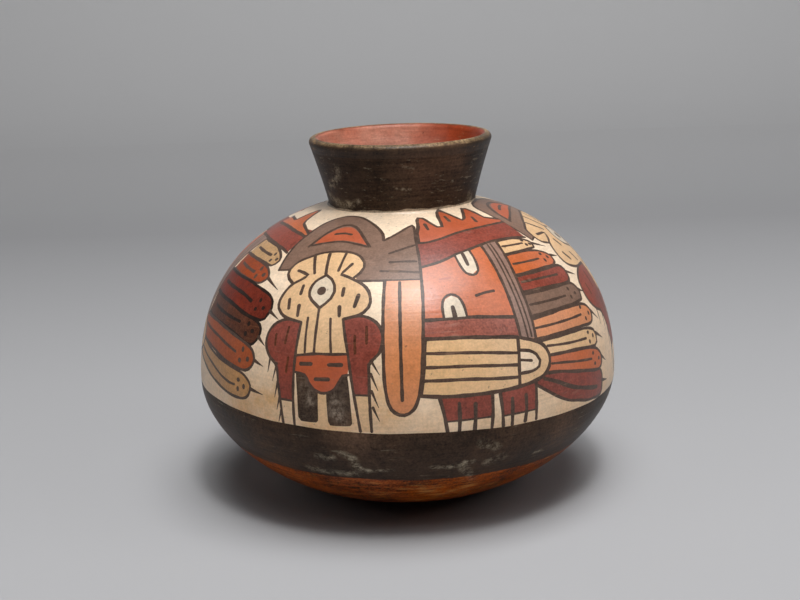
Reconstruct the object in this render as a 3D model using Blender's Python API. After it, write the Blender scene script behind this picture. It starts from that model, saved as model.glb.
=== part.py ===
"""A hand-built, slip-painted clay jar: rounded base, full belly, low shoulder and a short flared neck.

The jar is seven worked pieces of clay, luted together on slightly bevelled beds. All are turned about Z.
Sizes are in metres, +Z is up, and the origin is on the floor under the jar's axis.
"""

import math

import bmesh
import bpy
from mathutils import Vector

# Driving dimensions of the body
BELLY_RADIUS = 0.0825
BELLY_HEIGHT = 0.0471
FOOT_RADIUS = 0.018
BASE_REACH = 0.0334
LOWER_FULLNESS = 0.0205
UPPER_FULLNESS = 0.0288
SHOULDER_HEIGHT = 0.1149
SHOULDER_REACH = 0.0462
SHOULDER_SLOPE = math.radians(11.5)

# Driving dimensions of the neck and its lip
NECK_HEIGHT = 0.0254
NECK_FOOT_RADIUS = 0.0284
MOUTH_RADIUS = 0.0362
NECK_HOLLOW = 0.0004
LIP_HEIGHT = 0.0050

# Thickness of the clay
BASE_THICKNESS = 0.0070
BELLY_WALL = 0.0056
SHOULDER_WALL = 0.0052
NECK_WALL = 0.0045
LIP_WALL = 0.0041

# Where the body's pieces are luted together
BASE_DISH_HEIGHT = 0.0205
GIRTH_JOINT_DROP = 0.0060
GIRTH_JOINT_RISE = 0.0330
BED_RISE = 0.0012
LIP_BED_RISE = 0.0018
LUTE_GAP = 0.0003

# The roll of clay pressed into the corner round the foot of the neck
COIL_LEG = 0.0034
COIL_EDGE = 0.0004

# Fineness of the turned surfaces
SEGMENTS = 64
BASE_STEPS = 8
LOWER_WALL_STEPS = 5
GIRTH_STEPS = 6
SHOULDER_STEPS = 7
NECK_STEPS = 4
COIL_STEPS = 4
LIP_STEPS = 6
SEARCH_STEPS = 40

# Slip colours, linear red, green and blue
OCHRE = (0.36, 0.125, 0.022)
DARK_BROWN = (0.026, 0.019, 0.015)
CREAM = (0.61, 0.50, 0.36)
WORN_TAN = (0.20, 0.13, 0.075)

MERGE_DISTANCE = 0.000001
SMOOTH_ANGLE = math.radians(40.0)


def clear_scene():
    """Remove every object, so that the jar is built in an empty scene."""
    for item in list(bpy.data.objects):
        bpy.data.objects.remove(item, do_unlink=True)


def clay(name, colour, roughness):
    """A matt fired-clay material of one slip colour."""
    material = bpy.data.materials.new(name)
    material.use_nodes = True
    shader = material.node_tree.nodes["Principled BSDF"]
    shader.inputs["Base Color"].default_value = (*colour, 1.0)
    shader.inputs["Roughness"].default_value = roughness
    shader.inputs["Metallic"].default_value = 0.0
    return material


class Curve:
    """A cubic Bezier in the half-section plane, with points given as (radius, height)."""

    def __init__(self, start, start_handle, end_handle, end):
        self.points = [Vector(point) for point in (start, start_handle, end_handle, end)]

    def at(self, share):
        """The point at a share of the way from start to end."""
        rest = 1.0 - share
        weights = (rest**3, 3 * rest**2 * share, 3 * rest * share**2, share**3)
        return sum((point * weight for point, weight in zip(self.points, weights)), Vector((0.0, 0.0)))

    def share_where(self, axis, value):
        """The share of the way at which the radius (axis 0) or the height (axis 1) reaches a value."""
        rising = self.points[3][axis] > self.points[0][axis]
        low, high = 0.0, 1.0
        for _ in range(SEARCH_STEPS):
            middle = (low + high) / 2
            if (self.at(middle)[axis] < value) == rising:
                low = middle
            else:
                high = middle
        return (low + high) / 2

    def run(self, first, last, steps):
        """Points along the curve from one share of the way to another, both included."""
        return [self.at(first + (last - first) * step / steps) for step in range(steps + 1)]


class Wall:
    """One face of the body wall: a curve from the foot to the girth, then a curve on to the neck hole."""

    def __init__(self, floor, girth_inset, shoulder_inset):
        radius = BELLY_RADIUS - girth_inset
        slope_out = math.cos(SHOULDER_SLOPE)
        slope_down = math.sin(SHOULDER_SLOPE)
        self.top = SHOULDER_HEIGHT - shoulder_inset / slope_out
        self.lower = Curve(
            (FOOT_RADIUS, floor),
            (FOOT_RADIUS + BASE_REACH, floor),
            (radius, BELLY_HEIGHT - LOWER_FULLNESS),
            (radius, BELLY_HEIGHT),
        )
        self.upper = Curve(
            (radius, BELLY_HEIGHT),
            (radius, BELLY_HEIGHT + UPPER_FULLNESS),
            (neck_bore_radius() + SHOULDER_REACH * slope_out, self.top - SHOULDER_REACH * slope_down),
            (neck_bore_radius(), self.top),
        )

    def station(self, height):
        """How far along the wall a height lies: 0 at the foot, 1 at the girth, 2 at the neck hole."""
        if height <= BELLY_HEIGHT:
            return self.lower.share_where(1, height)
        return 1.0 + self.upper.share_where(1, height)

    def at(self, station):
        """The point at a station along the wall."""
        if station <= 1.0:
            return self.lower.at(station)
        return self.upper.at(station - 1.0)

    def run(self, first_height, last_height, steps):
        """Points between two heights, both included, with one on the girth where the run crosses it."""
        first = self.station(first_height)
        last = self.station(last_height)
        stations = [first + (last - first) * step / steps for step in range(steps + 1)]
        if min(first, last) < 1.0 < max(first, last):
            stations = sorted({*stations, 1.0}, reverse=last < first)
        return [self.at(station) for station in stations]

    def height_at_radius(self, radius):
        """Height of the shoulder at a radius."""
        return self.upper.at(self.upper.share_where(0, radius)).y


def neck_bore_radius():
    """Radius of the hole through the shoulder and the foot of the neck."""
    return NECK_FOOT_RADIUS - NECK_WALL


def bed_lift(outer_end, inner_end):
    """How far up the upper face of a joint lies, so that the gap across the joint is one lute gap."""
    across = inner_end - outer_end
    return LUTE_GAP * across.length / abs(across.x)


class BodyJoint:
    """A bed joint through the body wall: its inner end lies one bed rise above its outer end."""

    def __init__(self, outside, inside, height):
        outer_end = outside.at(outside.station(height))
        inner_end = inside.at(inside.station(height + BED_RISE))
        lift = bed_lift(outer_end, inner_end)
        self.outer_below = height
        self.outer_above = height + lift
        self.inner_below = height + BED_RISE
        self.inner_above = height + BED_RISE + lift


def turn(name, section, closed, material):
    """Turn a half-section about Z into one closed body. An open section starts and ends on the axis."""
    mesh = bpy.data.meshes.new(name)
    work = bmesh.new()
    corners = [work.verts.new((point.x, 0.0, point.y)) for point in section]
    edges = [work.edges.new(pair) for pair in zip(corners, corners[1:])]
    if closed:
        edges.append(work.edges.new((corners[-1], corners[0])))
    bmesh.ops.spin(
        work,
        geom=corners + edges,
        cent=(0.0, 0.0, 0.0),
        axis=(0.0, 0.0, 1.0),
        angle=2 * math.pi,
        steps=SEGMENTS,
        use_merge=True,
    )
    bmesh.ops.remove_doubles(work, verts=work.verts, dist=MERGE_DISTANCE)
    bmesh.ops.recalc_face_normals(work, faces=work.faces)
    work.to_mesh(mesh)
    work.free()
    mesh.shade_smooth()
    mesh.set_sharp_from_angle(angle=SMOOTH_ANGLE)
    mesh.materials.append(material)
    piece = bpy.data.objects.new(name, mesh)
    bpy.context.scene.collection.objects.link(piece)
    return piece


def base_dish(outside, inside, joint):
    """The pressed dish that the jar stands on, with a small worn flat under it."""
    under = outside.run(0.0, joint.outer_below, BASE_STEPS)
    bowl = inside.run(joint.inner_below, BASE_THICKNESS, BASE_STEPS)
    section = [Vector((0.0, 0.0)), *under, *bowl, Vector((0.0, BASE_THICKNESS))]
    turn("base_dish", section, False, clay("ochre_base_slip", OCHRE, 0.5))


def wall_belt(name, outside, inside, low_joint, high_joint, steps, material):
    """A belt of the body wall, raised from one bed joint to the next."""
    outer_run = outside.run(low_joint.outer_above, high_joint.outer_below, steps)
    inner_run = inside.run(high_joint.inner_below, low_joint.inner_above, steps)
    turn(name, outer_run + inner_run, True, material)


def shoulder_wall(outside, inside, low_joint):
    """The top belt, drawn in to the hole that the neck stands on."""
    outer_run = outside.run(low_joint.outer_above, outside.top, SHOULDER_STEPS)
    inner_run = inside.run(inside.top, low_joint.inner_above, SHOULDER_STEPS)
    turn("shoulder_wall", outer_run + inner_run, True, clay("cream_shoulder_slip", CREAM, 0.4))


def neck_curve(inset_at_foot, inset_at_lip, foot_height):
    """The flared neck wall from its foot on the shoulder to the top of the lip, slightly hollow."""
    foot = Vector((NECK_FOOT_RADIUS - inset_at_foot, foot_height))
    lip = Vector((MOUTH_RADIUS - inset_at_lip, SHOULDER_HEIGHT + NECK_HEIGHT))
    rise = (lip - foot) / 3
    hollow = Vector((-NECK_HOLLOW, 0.0))
    return Curve(foot, foot + rise + hollow, lip - rise + hollow, lip)


def neck_collar(outer, inner):
    """The flared neck, bevelled on top to carry the lip."""
    joint_height = SHOULDER_HEIGHT + NECK_HEIGHT - LIP_HEIGHT
    outside = outer.run(outer.share_where(1, joint_height), 0.0, NECK_STEPS)
    inside = inner.run(0.0, inner.share_where(1, joint_height + LIP_BED_RISE), NECK_STEPS)
    turn("neck_collar", outside + inside, True, clay("dark_neck_slip", DARK_BROWN, 0.45))


def rim_lip(outer, inner):
    """The rounded lip, a half-round roll of clay on the bevelled top of the neck."""
    joint_height = SHOULDER_HEIGHT + NECK_HEIGHT - LIP_HEIGHT
    outer_end = outer.at(outer.share_where(1, joint_height))
    inner_end = inner.at(inner.share_where(1, joint_height + LIP_BED_RISE))
    lift = bed_lift(outer_end, inner_end)
    crown_height = SHOULDER_HEIGHT + NECK_HEIGHT - LIP_WALL / 2
    outer_crown = outer.at(outer.share_where(1, crown_height))
    inner_crown = inner.at(inner.share_where(1, crown_height))
    middle = (outer_crown + inner_crown) / 2
    half = (outer_crown.x - inner_crown.x) / 2
    turns = [math.pi * step / LIP_STEPS for step in range(LIP_STEPS + 1)]
    crown = [middle + Vector((half * math.cos(angle), LIP_WALL / 2 * math.sin(angle))) for angle in turns]
    section = [
        inner.at(inner.share_where(1, joint_height + LIP_BED_RISE + lift)),
        outer.at(outer.share_where(1, joint_height + lift)),
        *crown,
    ]
    turn("rim_lip", section, True, clay("worn_lip_slip", WORN_TAN, 0.55))


def neck_coil(outside, neck_outer):
    """The roll of clay pressed into the corner between shoulder and neck, with a hollow outer face."""
    corner_radius = NECK_FOOT_RADIUS + LUTE_GAP
    toe_radius = corner_radius + COIL_LEG
    corner = Vector((corner_radius, outside.height_at_radius(corner_radius) + LUTE_GAP))
    toe = Vector((toe_radius, outside.height_at_radius(toe_radius) + LUTE_GAP))
    top_height = corner.y + COIL_LEG
    top_radius = neck_outer.at(neck_outer.share_where(1, top_height)).x + LUTE_GAP
    toe_edge = toe + Vector((0.0, COIL_EDGE))
    top = Vector((top_radius, top_height))
    top_edge = top + Vector((COIL_EDGE, 0.0))
    waist = Vector((top_edge.x, toe_edge.y))
    hollow = Curve(toe_edge, toe_edge.lerp(waist, 0.5), top_edge.lerp(waist, 0.5), top_edge)
    section = [corner, toe, *hollow.run(0.0, 1.0, COIL_STEPS), top]
    turn("neck_coil", section, True, clay("dark_coil_slip", DARK_BROWN, 0.5))


def build_jar():
    """Work out the shared wall faces and joints, then make the pieces on them."""
    outside = Wall(0.0, 0.0, 0.0)
    inside = Wall(BASE_THICKNESS, BELLY_WALL, SHOULDER_WALL)
    base_joint = BodyJoint(outside, inside, BASE_DISH_HEIGHT)
    girth_joint = BodyJoint(outside, inside, BELLY_HEIGHT - GIRTH_JOINT_DROP)
    shoulder_joint = BodyJoint(outside, inside, BELLY_HEIGHT + GIRTH_JOINT_RISE)
    dark = clay("dark_band_slip", DARK_BROWN, 0.42)
    cream = clay("cream_girth_slip", CREAM, 0.4)
    base_dish(outside, inside, base_joint)
    wall_belt("lower_wall", outside, inside, base_joint, girth_joint, LOWER_WALL_STEPS, dark)
    wall_belt("girth_wall", outside, inside, girth_joint, shoulder_joint, GIRTH_STEPS, cream)
    shoulder_wall(outside, inside, shoulder_joint)
    neck_outer = neck_curve(0.0, 0.0, outside.height_at_radius(NECK_FOOT_RADIUS) + LUTE_GAP)
    neck_inner = neck_curve(NECK_WALL, LIP_WALL, outside.top + LUTE_GAP)
    neck_coil(outside, neck_outer)
    neck_collar(neck_outer, neck_inner)
    rim_lip(neck_outer, neck_inner)


clear_scene()
build_jar()
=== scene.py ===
import math

import bpy
import numpy as np
from mathutils import Matrix, Vector
from mathutils.geometry import delaunay_2d_cdt


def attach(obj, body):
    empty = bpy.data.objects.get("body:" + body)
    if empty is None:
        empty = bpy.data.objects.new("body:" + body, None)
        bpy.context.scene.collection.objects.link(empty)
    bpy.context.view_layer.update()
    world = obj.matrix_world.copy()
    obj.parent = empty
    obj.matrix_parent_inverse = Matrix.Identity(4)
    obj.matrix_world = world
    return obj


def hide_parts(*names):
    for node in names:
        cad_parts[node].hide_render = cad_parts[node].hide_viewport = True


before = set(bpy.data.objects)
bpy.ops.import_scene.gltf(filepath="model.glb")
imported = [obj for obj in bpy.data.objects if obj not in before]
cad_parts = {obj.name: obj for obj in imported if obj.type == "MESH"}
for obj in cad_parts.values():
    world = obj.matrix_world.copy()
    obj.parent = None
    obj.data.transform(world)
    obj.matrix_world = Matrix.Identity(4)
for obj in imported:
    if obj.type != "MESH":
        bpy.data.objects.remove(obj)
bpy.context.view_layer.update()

# Shape of the jar, in millimetres
BELLY_RADIUS = 82.5
BELLY_HEIGHT = 47.1
FOOT_RADIUS = 18.0
FOOT_HANDLE_RADIUS = 51.4
LOWER_HANDLE_HEIGHT = 26.6
UPPER_HANDLE_HEIGHT = 75.9
SHOULDER_TOP = 114.9
SHOULDER_REACH = 46.2
SHOULDER_SLOPE = math.radians(11.5)
NECK_FOOT_RADIUS = 28.4
NECK_WALL = 4.5
MOUTH_RADIUS = 36.2
RIM_HEIGHT = 140.3
NECK_HOLLOW = 0.4
LIP_HEIGHT = 5.0
LIP_WALL = 4.1
BASE_THICKNESS = 7.0
BELLY_WALL = 5.6
SHOULDER_WALL = 5.2
BASE_JOINT_HEIGHT = 20.5
GIRTH_JOINT_HEIGHT = 41.1
COIL_LEG = 2.5
COIL_HOLLOW = 0.8

# How finely the surfaces are cut
ROUND_STEPS = 192
CURVE_STEPS = 400
GRID_TURN_STEP = 360.0 / ROUND_STEPS
GRID_RISE_STEP = 1.8
SEAM_RISE_STEP = 0.6
COIL_STEPS = 40
CROWN_STEPS = 14
BRUSH_STEP = 0.7
MM = 0.001


def srgb(red, green, blue):
    """A colour given as it looks on screen, 0 to 255, as the light values that a shader takes."""
    shares = [value / 255 for value in (red, green, blue)]
    linear = [s / 12.92 if s <= 0.04045 else ((s + 0.055) / 1.055) ** 2.4 for s in shares]
    return (*linear, 1.0)


# Slips, as they look in plain light, save the paler red under the panel, which is a painted sheen
SLIPS = {
    "cream": srgb(237, 212, 183),
    "white": srgb(213, 194, 169),
    "buff": srgb(219, 178, 132),
    "tan": srgb(188, 148, 102),
    "dull_tan": srgb(186, 138, 88),
    "light_orange": srgb(205, 134, 90),
    "red_orange": srgb(190, 100, 57),
    "brick": srgb(174, 85, 52),
    "rust": srgb(160, 80, 44),
    "ember": srgb(150, 66, 28),
    # Painted sheen: a paler red that stands in for the sheen on the strip under the panel
    "sheen_red": srgb(150, 82, 65),
    "dark_red": srgb(133, 64, 50),
    "deep_red": srgb(110, 38, 21),
    "grey_mauve": srgb(142, 112, 98),
    "mauve": srgb(126, 98, 82),
    "umber": srgb(90, 51, 34),
    "brown": srgb(80, 62, 52),
    "leg_brown": srgb(72, 58, 48),
    "black_brown": srgb(42, 32, 27),
    "scuffed": srgb(150, 131, 108),
}
OCHRE = srgb(130, 58, 2)
BAND_BROWN = srgb(53, 39, 29)
NECK_BROWN = srgb(52, 38, 26)
THIN_BROWN = srgb(92, 68, 51)
NECK_RED = srgb(152, 62, 32)
RUBBED_PINK = srgb(186, 129, 108)
# Painted shade: a darker red laid over the inner edge of the lip's crown
CROWN_SHADE_RED = srgb(104, 48, 30)
BARE_CLAY = srgb(150, 92, 62)
TAN_STAIN = srgb(218, 173, 124)
BAND_FILM = srgb(146, 134, 112)
NECK_FILM = srgb(150, 138, 116)
LEG_FILM = srgb(126, 112, 98)
WORN_CLAY = srgb(160, 134, 104)
WORN_OCHRE = srgb(196, 136, 76)
WORN_RED = srgb(190, 140, 112)
WORN_LIP = srgb(150, 118, 84)
RUBBED_LIP = srgb(166, 138, 102)


class Curve:
    """A cubic Bezier in the half-section plane, with points given as (radius, height)."""

    def __init__(self, start, start_handle, end_handle, end):
        self.points = [Vector(point) for point in (start, start_handle, end_handle, end)]

    def at(self, share):
        rest = 1.0 - share
        weights = (rest**3, 3 * rest**2 * share, 3 * rest * share**2, share**3)
        return sum((point * weight for point, weight in zip(self.points, weights)), Vector((0.0, 0.0)))

    def run(self, steps):
        return [self.at(step / steps) for step in range(steps + 1)]


class WallLine:
    """A half-section line that is read by the distance along it, counted from the girth upwards."""

    def __init__(self, points, girth_index):
        self.radius = np.array([point.x for point in points])
        self.height = np.array([point.y for point in points])
        steps = np.hypot(np.diff(self.radius), np.diff(self.height))
        self.along = np.concatenate([[0.0], np.cumsum(steps)])
        self.along -= self.along[girth_index]
        self.above_girth = slice(girth_index, None)
        run_radius = np.gradient(self.radius, self.along)
        run_height = np.gradient(self.height, self.along)
        size = np.hypot(run_radius, run_height)
        self.out_radius = run_height / size
        self.out_height = -run_radius / size

    def radius_at(self, along):
        return np.interp(along, self.along, self.radius)

    def height_at(self, along):
        return np.interp(along, self.along, self.height)

    def normal_at(self, along):
        return np.interp(along, self.along, self.out_radius), np.interp(along, self.along, self.out_height)

    def along_at_height(self, height):
        return float(np.interp(height, self.height, self.along))

    def along_at_radius(self, radius):
        """The distance along the line at a radius of the shoulder."""
        return float(np.interp(-radius, -self.radius[self.above_girth], self.along[self.above_girth]))

    def section(self, first, last, steps):
        """Points of the half-section between two distances along the line."""
        stops = [first + (last - first) * step / steps for step in range(steps + 1)]
        return [(float(self.radius_at(stop)), float(self.height_at(stop))) for stop in stops]


def body_points(floor, girth_inset, shoulder_inset):
    """Points of the outer or inner face of the body wall, from the foot over the girth to the neck hole."""
    radius = BELLY_RADIUS - girth_inset
    hole = NECK_FOOT_RADIUS - NECK_WALL
    top = SHOULDER_TOP - shoulder_inset / math.cos(SHOULDER_SLOPE)
    reach_out = hole + SHOULDER_REACH * math.cos(SHOULDER_SLOPE)
    reach_down = top - SHOULDER_REACH * math.sin(SHOULDER_SLOPE)
    girth = (radius, BELLY_HEIGHT)
    lower = Curve((FOOT_RADIUS, floor), (FOOT_HANDLE_RADIUS, floor), (radius, LOWER_HANDLE_HEIGHT), girth)
    upper = Curve(girth, (radius, UPPER_HANDLE_HEIGHT), (reach_out, reach_down), (hole, top))
    return lower.run(CURVE_STEPS) + upper.run(CURVE_STEPS)[1:]


def neck_line(inset_at_foot, inset_at_lip, foot_height):
    """The outer or inner face of the flared neck."""
    foot = Vector((NECK_FOOT_RADIUS - inset_at_foot, foot_height))
    lip = Vector((MOUTH_RADIUS - inset_at_lip, RIM_HEIGHT))
    rise = (lip - foot) / 3
    hollow = Vector((-NECK_HOLLOW, 0.0))
    return Curve(foot, foot + rise + hollow, lip - rise + hollow, lip)


def lean_at_lip(curve):
    """How far a face of the neck leans outward at the lip, as an angle from upright."""
    run = curve.points[3] - curve.points[2]
    return math.atan2(run.x, run.y)


def between_heights(curve, low, high, steps):
    """Points of the neck's face between two heights."""
    points = curve.run(CURVE_STEPS)
    heights = [point.y for point in points]
    radii = [point.x for point in points]
    stops = [low + (high - low) * step / steps for step in range(steps + 1)]
    return [(float(np.interp(stop, heights, radii)), stop) for stop in stops]


OUTSIDE = WallLine(body_points(0.0, 0.0, 0.0), CURVE_STEPS)
INSIDE = WallLine(body_points(BASE_THICKNESS, BELLY_WALL, SHOULDER_WALL), CURVE_STEPS)
NECK_FOOT = Vector((NECK_FOOT_RADIUS, float(OUTSIDE.height_at(OUTSIDE.along_at_radius(NECK_FOOT_RADIUS)))))
NECK_OUTSIDE = neck_line(0.0, 0.0, NECK_FOOT.y)
NECK_INSIDE = neck_line(NECK_WALL, LIP_WALL, SHOULDER_TOP)
TOE_CLEARANCE = 0.01


def painted_line():
    """The line that the painter's brush follows: up the wall, then up the hollow of the neck's coil."""
    toe_radius = NECK_FOOT_RADIUS + COIL_LEG
    toe_along = OUTSIDE.along_at_radius(toe_radius)
    toe = Vector((toe_radius, float(OUTSIDE.height_at(toe_along))))
    top_height = NECK_FOOT.y + COIL_LEG
    top = Vector(between_heights(NECK_OUTSIDE, top_height, top_height, 1)[0])
    hollow = Curve(toe, toe.lerp(NECK_FOOT, COIL_HOLLOW), top.lerp(NECK_FOOT, COIL_HOLLOW), top)
    wall = [point for point in body_points(0.0, 0.0, 0.0)
            if point.x > toe.x + TOE_CLEARANCE or point.y < BELLY_HEIGHT]
    return WallLine(wall + hollow.run(COIL_STEPS), CURVE_STEPS), toe_along


PAINTED, SEAM_LOW = painted_line()
SEAM_HIGH = float(PAINTED.along[-1])
SEAM_MIDDLE = (SEAM_LOW + SEAM_HIGH) / 2
PAINT_LOW = OUTSIDE.along_at_height(GIRTH_JOINT_HEIGHT)
BAND_FOOT = -24.9
BAND_FOOT_TILT = -1.9


def round_curve(points, closed):
    """A curve drawn freely through the points. A point given twice running is a sharp corner."""
    runs = [[points[0]]]
    for point in points[1:]:
        if point == runs[-1][-1]:
            runs.append([point])
        else:
            runs[-1].append(point)
    if closed and len(runs) == 1:
        ring = runs[0]
        return bend([ring[-1], *ring, ring[0], ring[1]])
    drawn = []
    for run in runs:
        if len(run) < 2:
            continue
        ahead = (2 * run[0][0] - run[1][0], 2 * run[0][1] - run[1][1])
        after = (2 * run[-1][0] - run[-2][0], 2 * run[-1][1] - run[-2][1])
        drawn += bend([ahead, *run, after])
    return drawn


def bend(points):
    """Points on a smooth curve from the second to the last but one of the given points."""
    drawn = []
    for before, start, end, after in zip(points, points[1:], points[2:], points[3:]):
        scale = mm_per_degree((start[1] + end[1]) / 2)
        reach = math.hypot((end[0] - start[0]) * scale, end[1] - start[1])
        steps = max(1, int(reach / (2 * BRUSH_STEP)))
        for step in range(steps):
            t = step / steps
            drawn.append(tuple(
                0.5 * (2 * b + (c - a) * t + (2 * a - 5 * b + 4 * c - d) * t * t
                       + (3 * b - a - 3 * c + d) * t**3)
                for a, b, c, d in zip(before, start, end, after)
            ))
    drawn.append(points[-2])
    return drawn


def mm_per_degree(along):
    return float(PAINTED.radius_at(along)) * math.pi / 180


def oval(centre, half_width, half_height, corners):
    """A ring of points round a centre."""
    x, y = centre
    turns = [math.tau * step / corners for step in range(corners)]
    return [(x + half_width * math.cos(turn), y + half_height * math.sin(turn)) for turn in turns]


BRUSH_LOAD = 0.83
BRUSH_WIDTH = 1.35
FLICK_END = 0.25
LIFT_REACH = 100.0
DOT_CORNERS = 10
DOT_UNEVEN = 0.12
SPOT_CORNERS = 20
ROUND_END_STEPS = 4


class Brush:
    """Paints outlines, fills and dots on the wall, in (degrees round the jar, millimetres up the wall)."""

    painted = []

    def __init__(self, turn_from=(0.0, 1.0), turn_to=(0.0, 1.0), lift=0.0):
        self.turn_from = turn_from
        self.turn_to = turn_to
        self.lift = lift

    def place(self, points):
        """Moves points of the drawing to their own figure: turned round the jar, widened and lifted."""
        first, last = self.turn_from[0], self.turn_from[-1]
        first_stretch = (self.turn_to[1] - self.turn_to[0]) / (self.turn_from[1] - self.turn_from[0])
        last_stretch = (self.turn_to[-1] - self.turn_to[-2]) / (self.turn_from[-1] - self.turn_from[-2])
        moved = []
        for degrees, along in points:
            if degrees < first:
                turned = self.turn_to[0] + (degrees - first) * first_stretch
            elif degrees > last:
                turned = self.turn_to[-1] + (degrees - last) * last_stretch
            else:
                turned = float(np.interp(degrees, self.turn_from, self.turn_to))
            rise = self.lift * max(along, 0.0) * max(1.0 - along / LIFT_REACH, 0.0)
            moved.append((turned, along + rise))
        return moved

    def keep(self, slip, outline):
        Brush.painted.append((slip, outline))

    def fill(self, slip, points):
        """A filled area inside a free curve through the points."""
        self.keep(slip, round_curve(self.place(points), True))

    def line(self, points, width=BRUSH_WIDTH, slip="brown"):
        """A brush line with round ends. Its width drifts a little, as the hand presses more or less."""
        self.stroke(round_curve(self.place(points), False), width, slip)

    def outlined(self, slip, points, width):
        """A filled area with a brush line all round it."""
        edge = round_curve(self.place(points), True)
        self.keep(slip, edge)
        self.stroke(edge + edge[:2], width, "brown")

    def spike(self, start, end, width=1.1):
        """A short flick of the brush that runs out to a point."""
        self.stroke(round_curve(self.place([start, end]), False), width, "brown", FLICK_END)

    def dot(self, centre, size, slip):
        """A dab of the brush, a little wider or taller from one to the next."""
        turned, along = self.place([centre])[0]
        lean = 1.0 + DOT_UNEVEN * math.sin(7.1 * turned + along)
        half_width = lean * size / 2 / mm_per_degree(along)
        self.keep(slip, oval((turned, along), half_width, size / 2 / lean, DOT_CORNERS))

    def round_spot(self, centre, size):
        """A round spot, such as a pupil."""
        half_width = size / 2 / mm_per_degree(centre[1])
        self.keep("brown", self.place(oval(centre, half_width, size / 2, SPOT_CORNERS)))

    def stroke(self, middle, width, slip, end_width=None):
        """The outline of a brush line along a middle line, running out to an end width where one is given."""
        left, right = [], []
        last = len(middle) - 1
        for index, (degrees, along) in enumerate(middle):
            before = middle[max(index - 1, 0)]
            after = middle[min(index + 1, last)]
            scale = mm_per_degree(along)
            run_x = (after[0] - before[0]) * scale
            run_y = after[1] - before[1]
            size = math.hypot(run_x, run_y) or 1.0
            slow_press = 0.10 * math.sin(0.9 * degrees + 0.7 * along)
            quick_press = 0.05 * math.sin(2.3 * along - 1.7 * degrees)
            half = width * BRUSH_LOAD / 2 * (1.0 + slow_press + quick_press)
            if end_width is not None:
                half = (width + (end_width - width) * index / last) / 2
            across = -run_y / size * half / scale
            upright = run_x / size * half
            left.append((degrees + across, along + upright))
            right.append((degrees - across, along - upright))
        self.keep(slip, self.round_end(middle[0], right[0], left[0]) + left[1:-1]
                  + self.round_end(middle[-1], left[-1], right[-1]) + right[-2:0:-1])

    @staticmethod
    def round_end(middle, first, last):
        """The round end of a brush line, from one side to the other."""
        scale = mm_per_degree(middle[1])
        start_x = (first[0] - middle[0]) * scale
        start_y = first[1] - middle[1]
        points = []
        for step in range(ROUND_END_STEPS + 1):
            turn = -math.pi * step / ROUND_END_STEPS
            x = start_x * math.cos(turn) - start_y * math.sin(turn)
            y = start_x * math.sin(turn) + start_y * math.cos(turn)
            points.append((middle[0] + x / scale, middle[1] + y))
        return points


# The painted frieze, in (degrees round the jar from its front, millimetres up the wall from the girth)
FRONT_CREST = [
    (6.6, 72.4), (7.0, 78.1), (8.4, 82.7), (9.0, 87.3), (10.3, 89.2), (12.8, 88.8), (15.0, 86.1),
    (17.2, 83.0), (18.5, 81.4), (21.1, 81.3), (22.0, 83.8), (23.3, 88.4), (25.5, 92.1), (27.5, 93.4),
    (30.4, 92.2), (32.6, 89.6), (34.8, 85.8), (36.1, 84.0), (38.3, 84.8), (41.8, 87.6), (45.3, 90.2),
    (48.4, 92.0), (51.2, 91.4), (51.9, 87.8), (52.1, 82.7), (54.6, 81.4), (58.6, 79.6)]
HIDDEN_CREST = FRONT_CREST[:10]
CREST_FOOT = [
    (5.8, 72.1), (11.0, 72.4), (17.6, 74.0), (24.0, 75.8), (31.0, 77.0), (40.0, 77.5), (48.0, 77.5),
    (58.6, 77.0)]


def between_lines(upper, lower):
    """The outline of the area between two lines, with sharp corners at their ends."""
    return [*upper, upper[-1], lower[-1], *lower[::-1], lower[0], upper[0], upper[0]]


def paint_headdress(brush):
    arch = [(-47.2, 55.3), (-48.6, 61.5), (-49.5, 67.7), (-49.4, 73.5), (-49.0, 79.0), (-47.6, 83.8),
            (-44.6, 87.1), (-39.9, 89.6), (-34.8, 90.2), (-29.3, 90.0), (-24.1, 88.6), (-19.9, 86.8),
            (-15.6, 84.2), (-12.2, 81.4), (-9.6, 78.2), (-8.6, 74.2), (-8.6, 74.2),
            (-3.7, 77.7), (0.6, 81.0), (3.6, 83.0), (5.2, 83.8), (6.1, 82.6), (6.1, 82.6),
            (5.7, 73.0), (5.8, 64.0), (5.6, 54.4), (5.6, 54.4), (-7.1, 54.4), (-15.4, 54.1), (-15.4, 54.1),
            (-20.0, 60.0), (-42.9, 56.2), (-42.9, 56.2), (-47.2, 55.3)]
    brush.fill("mauve", arch)
    brush.line(arch[:26], 1.3)
    brush.line([(-47.2, 55.3), (-45.0, 55.7), (-42.6, 56.3)], 1.1)
    brush.line([(-15.4, 54.1), (-7.1, 54.4), (5.4, 54.4)], 1.2)
    brush.line([(-5.4, 67.1), (0.5, 69.6), (5.5, 71.3)], 1.2)
    brush.line([(-4.9, 62.7), (0.0, 62.9), (4.6, 62.7)], 1.2)
    brush.line([(-7.9, 58.6), (-1.0, 58.3), (5.4, 57.5)], 1.2)
    inset = [(-40.0, 70.2), (-39.2, 74.5), (-35.7, 79.6), (-31.8, 82.0), (-28.2, 82.1), (-24.1, 80.2),
             (-19.9, 76.8), (-14.6, 71.2), (-14.6, 71.2), (-17.7, 72.2), (-22.4, 73.2), (-27.5, 73.6),
             (-31.8, 72.9), (-36.0, 71.6), (-40.0, 70.2), (-40.0, 70.2)]
    brush.fill("brick", inset)
    brush.line([(-41.8, 68.3), (-40.3, 73.3), (-39.1, 77.1), (-36.9, 80.5), (-33.9, 83.0), (-30.1, 83.7),
                (-26.3, 82.6), (-22.9, 80.5), (-19.4, 77.1), (-16.5, 73.8), (-13.9, 70.6)], 1.6)
    brush.line([(-40.6, 69.0), (-36.0, 71.0), (-31.8, 72.2), (-27.5, 72.9), (-22.4, 72.4), (-17.7, 71.4),
                (-14.2, 70.4)], 1.3)
    brush.line([(-33.9, 76.9), (-29.5, 77.9), (-25.4, 77.4)], 1.5)


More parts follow.
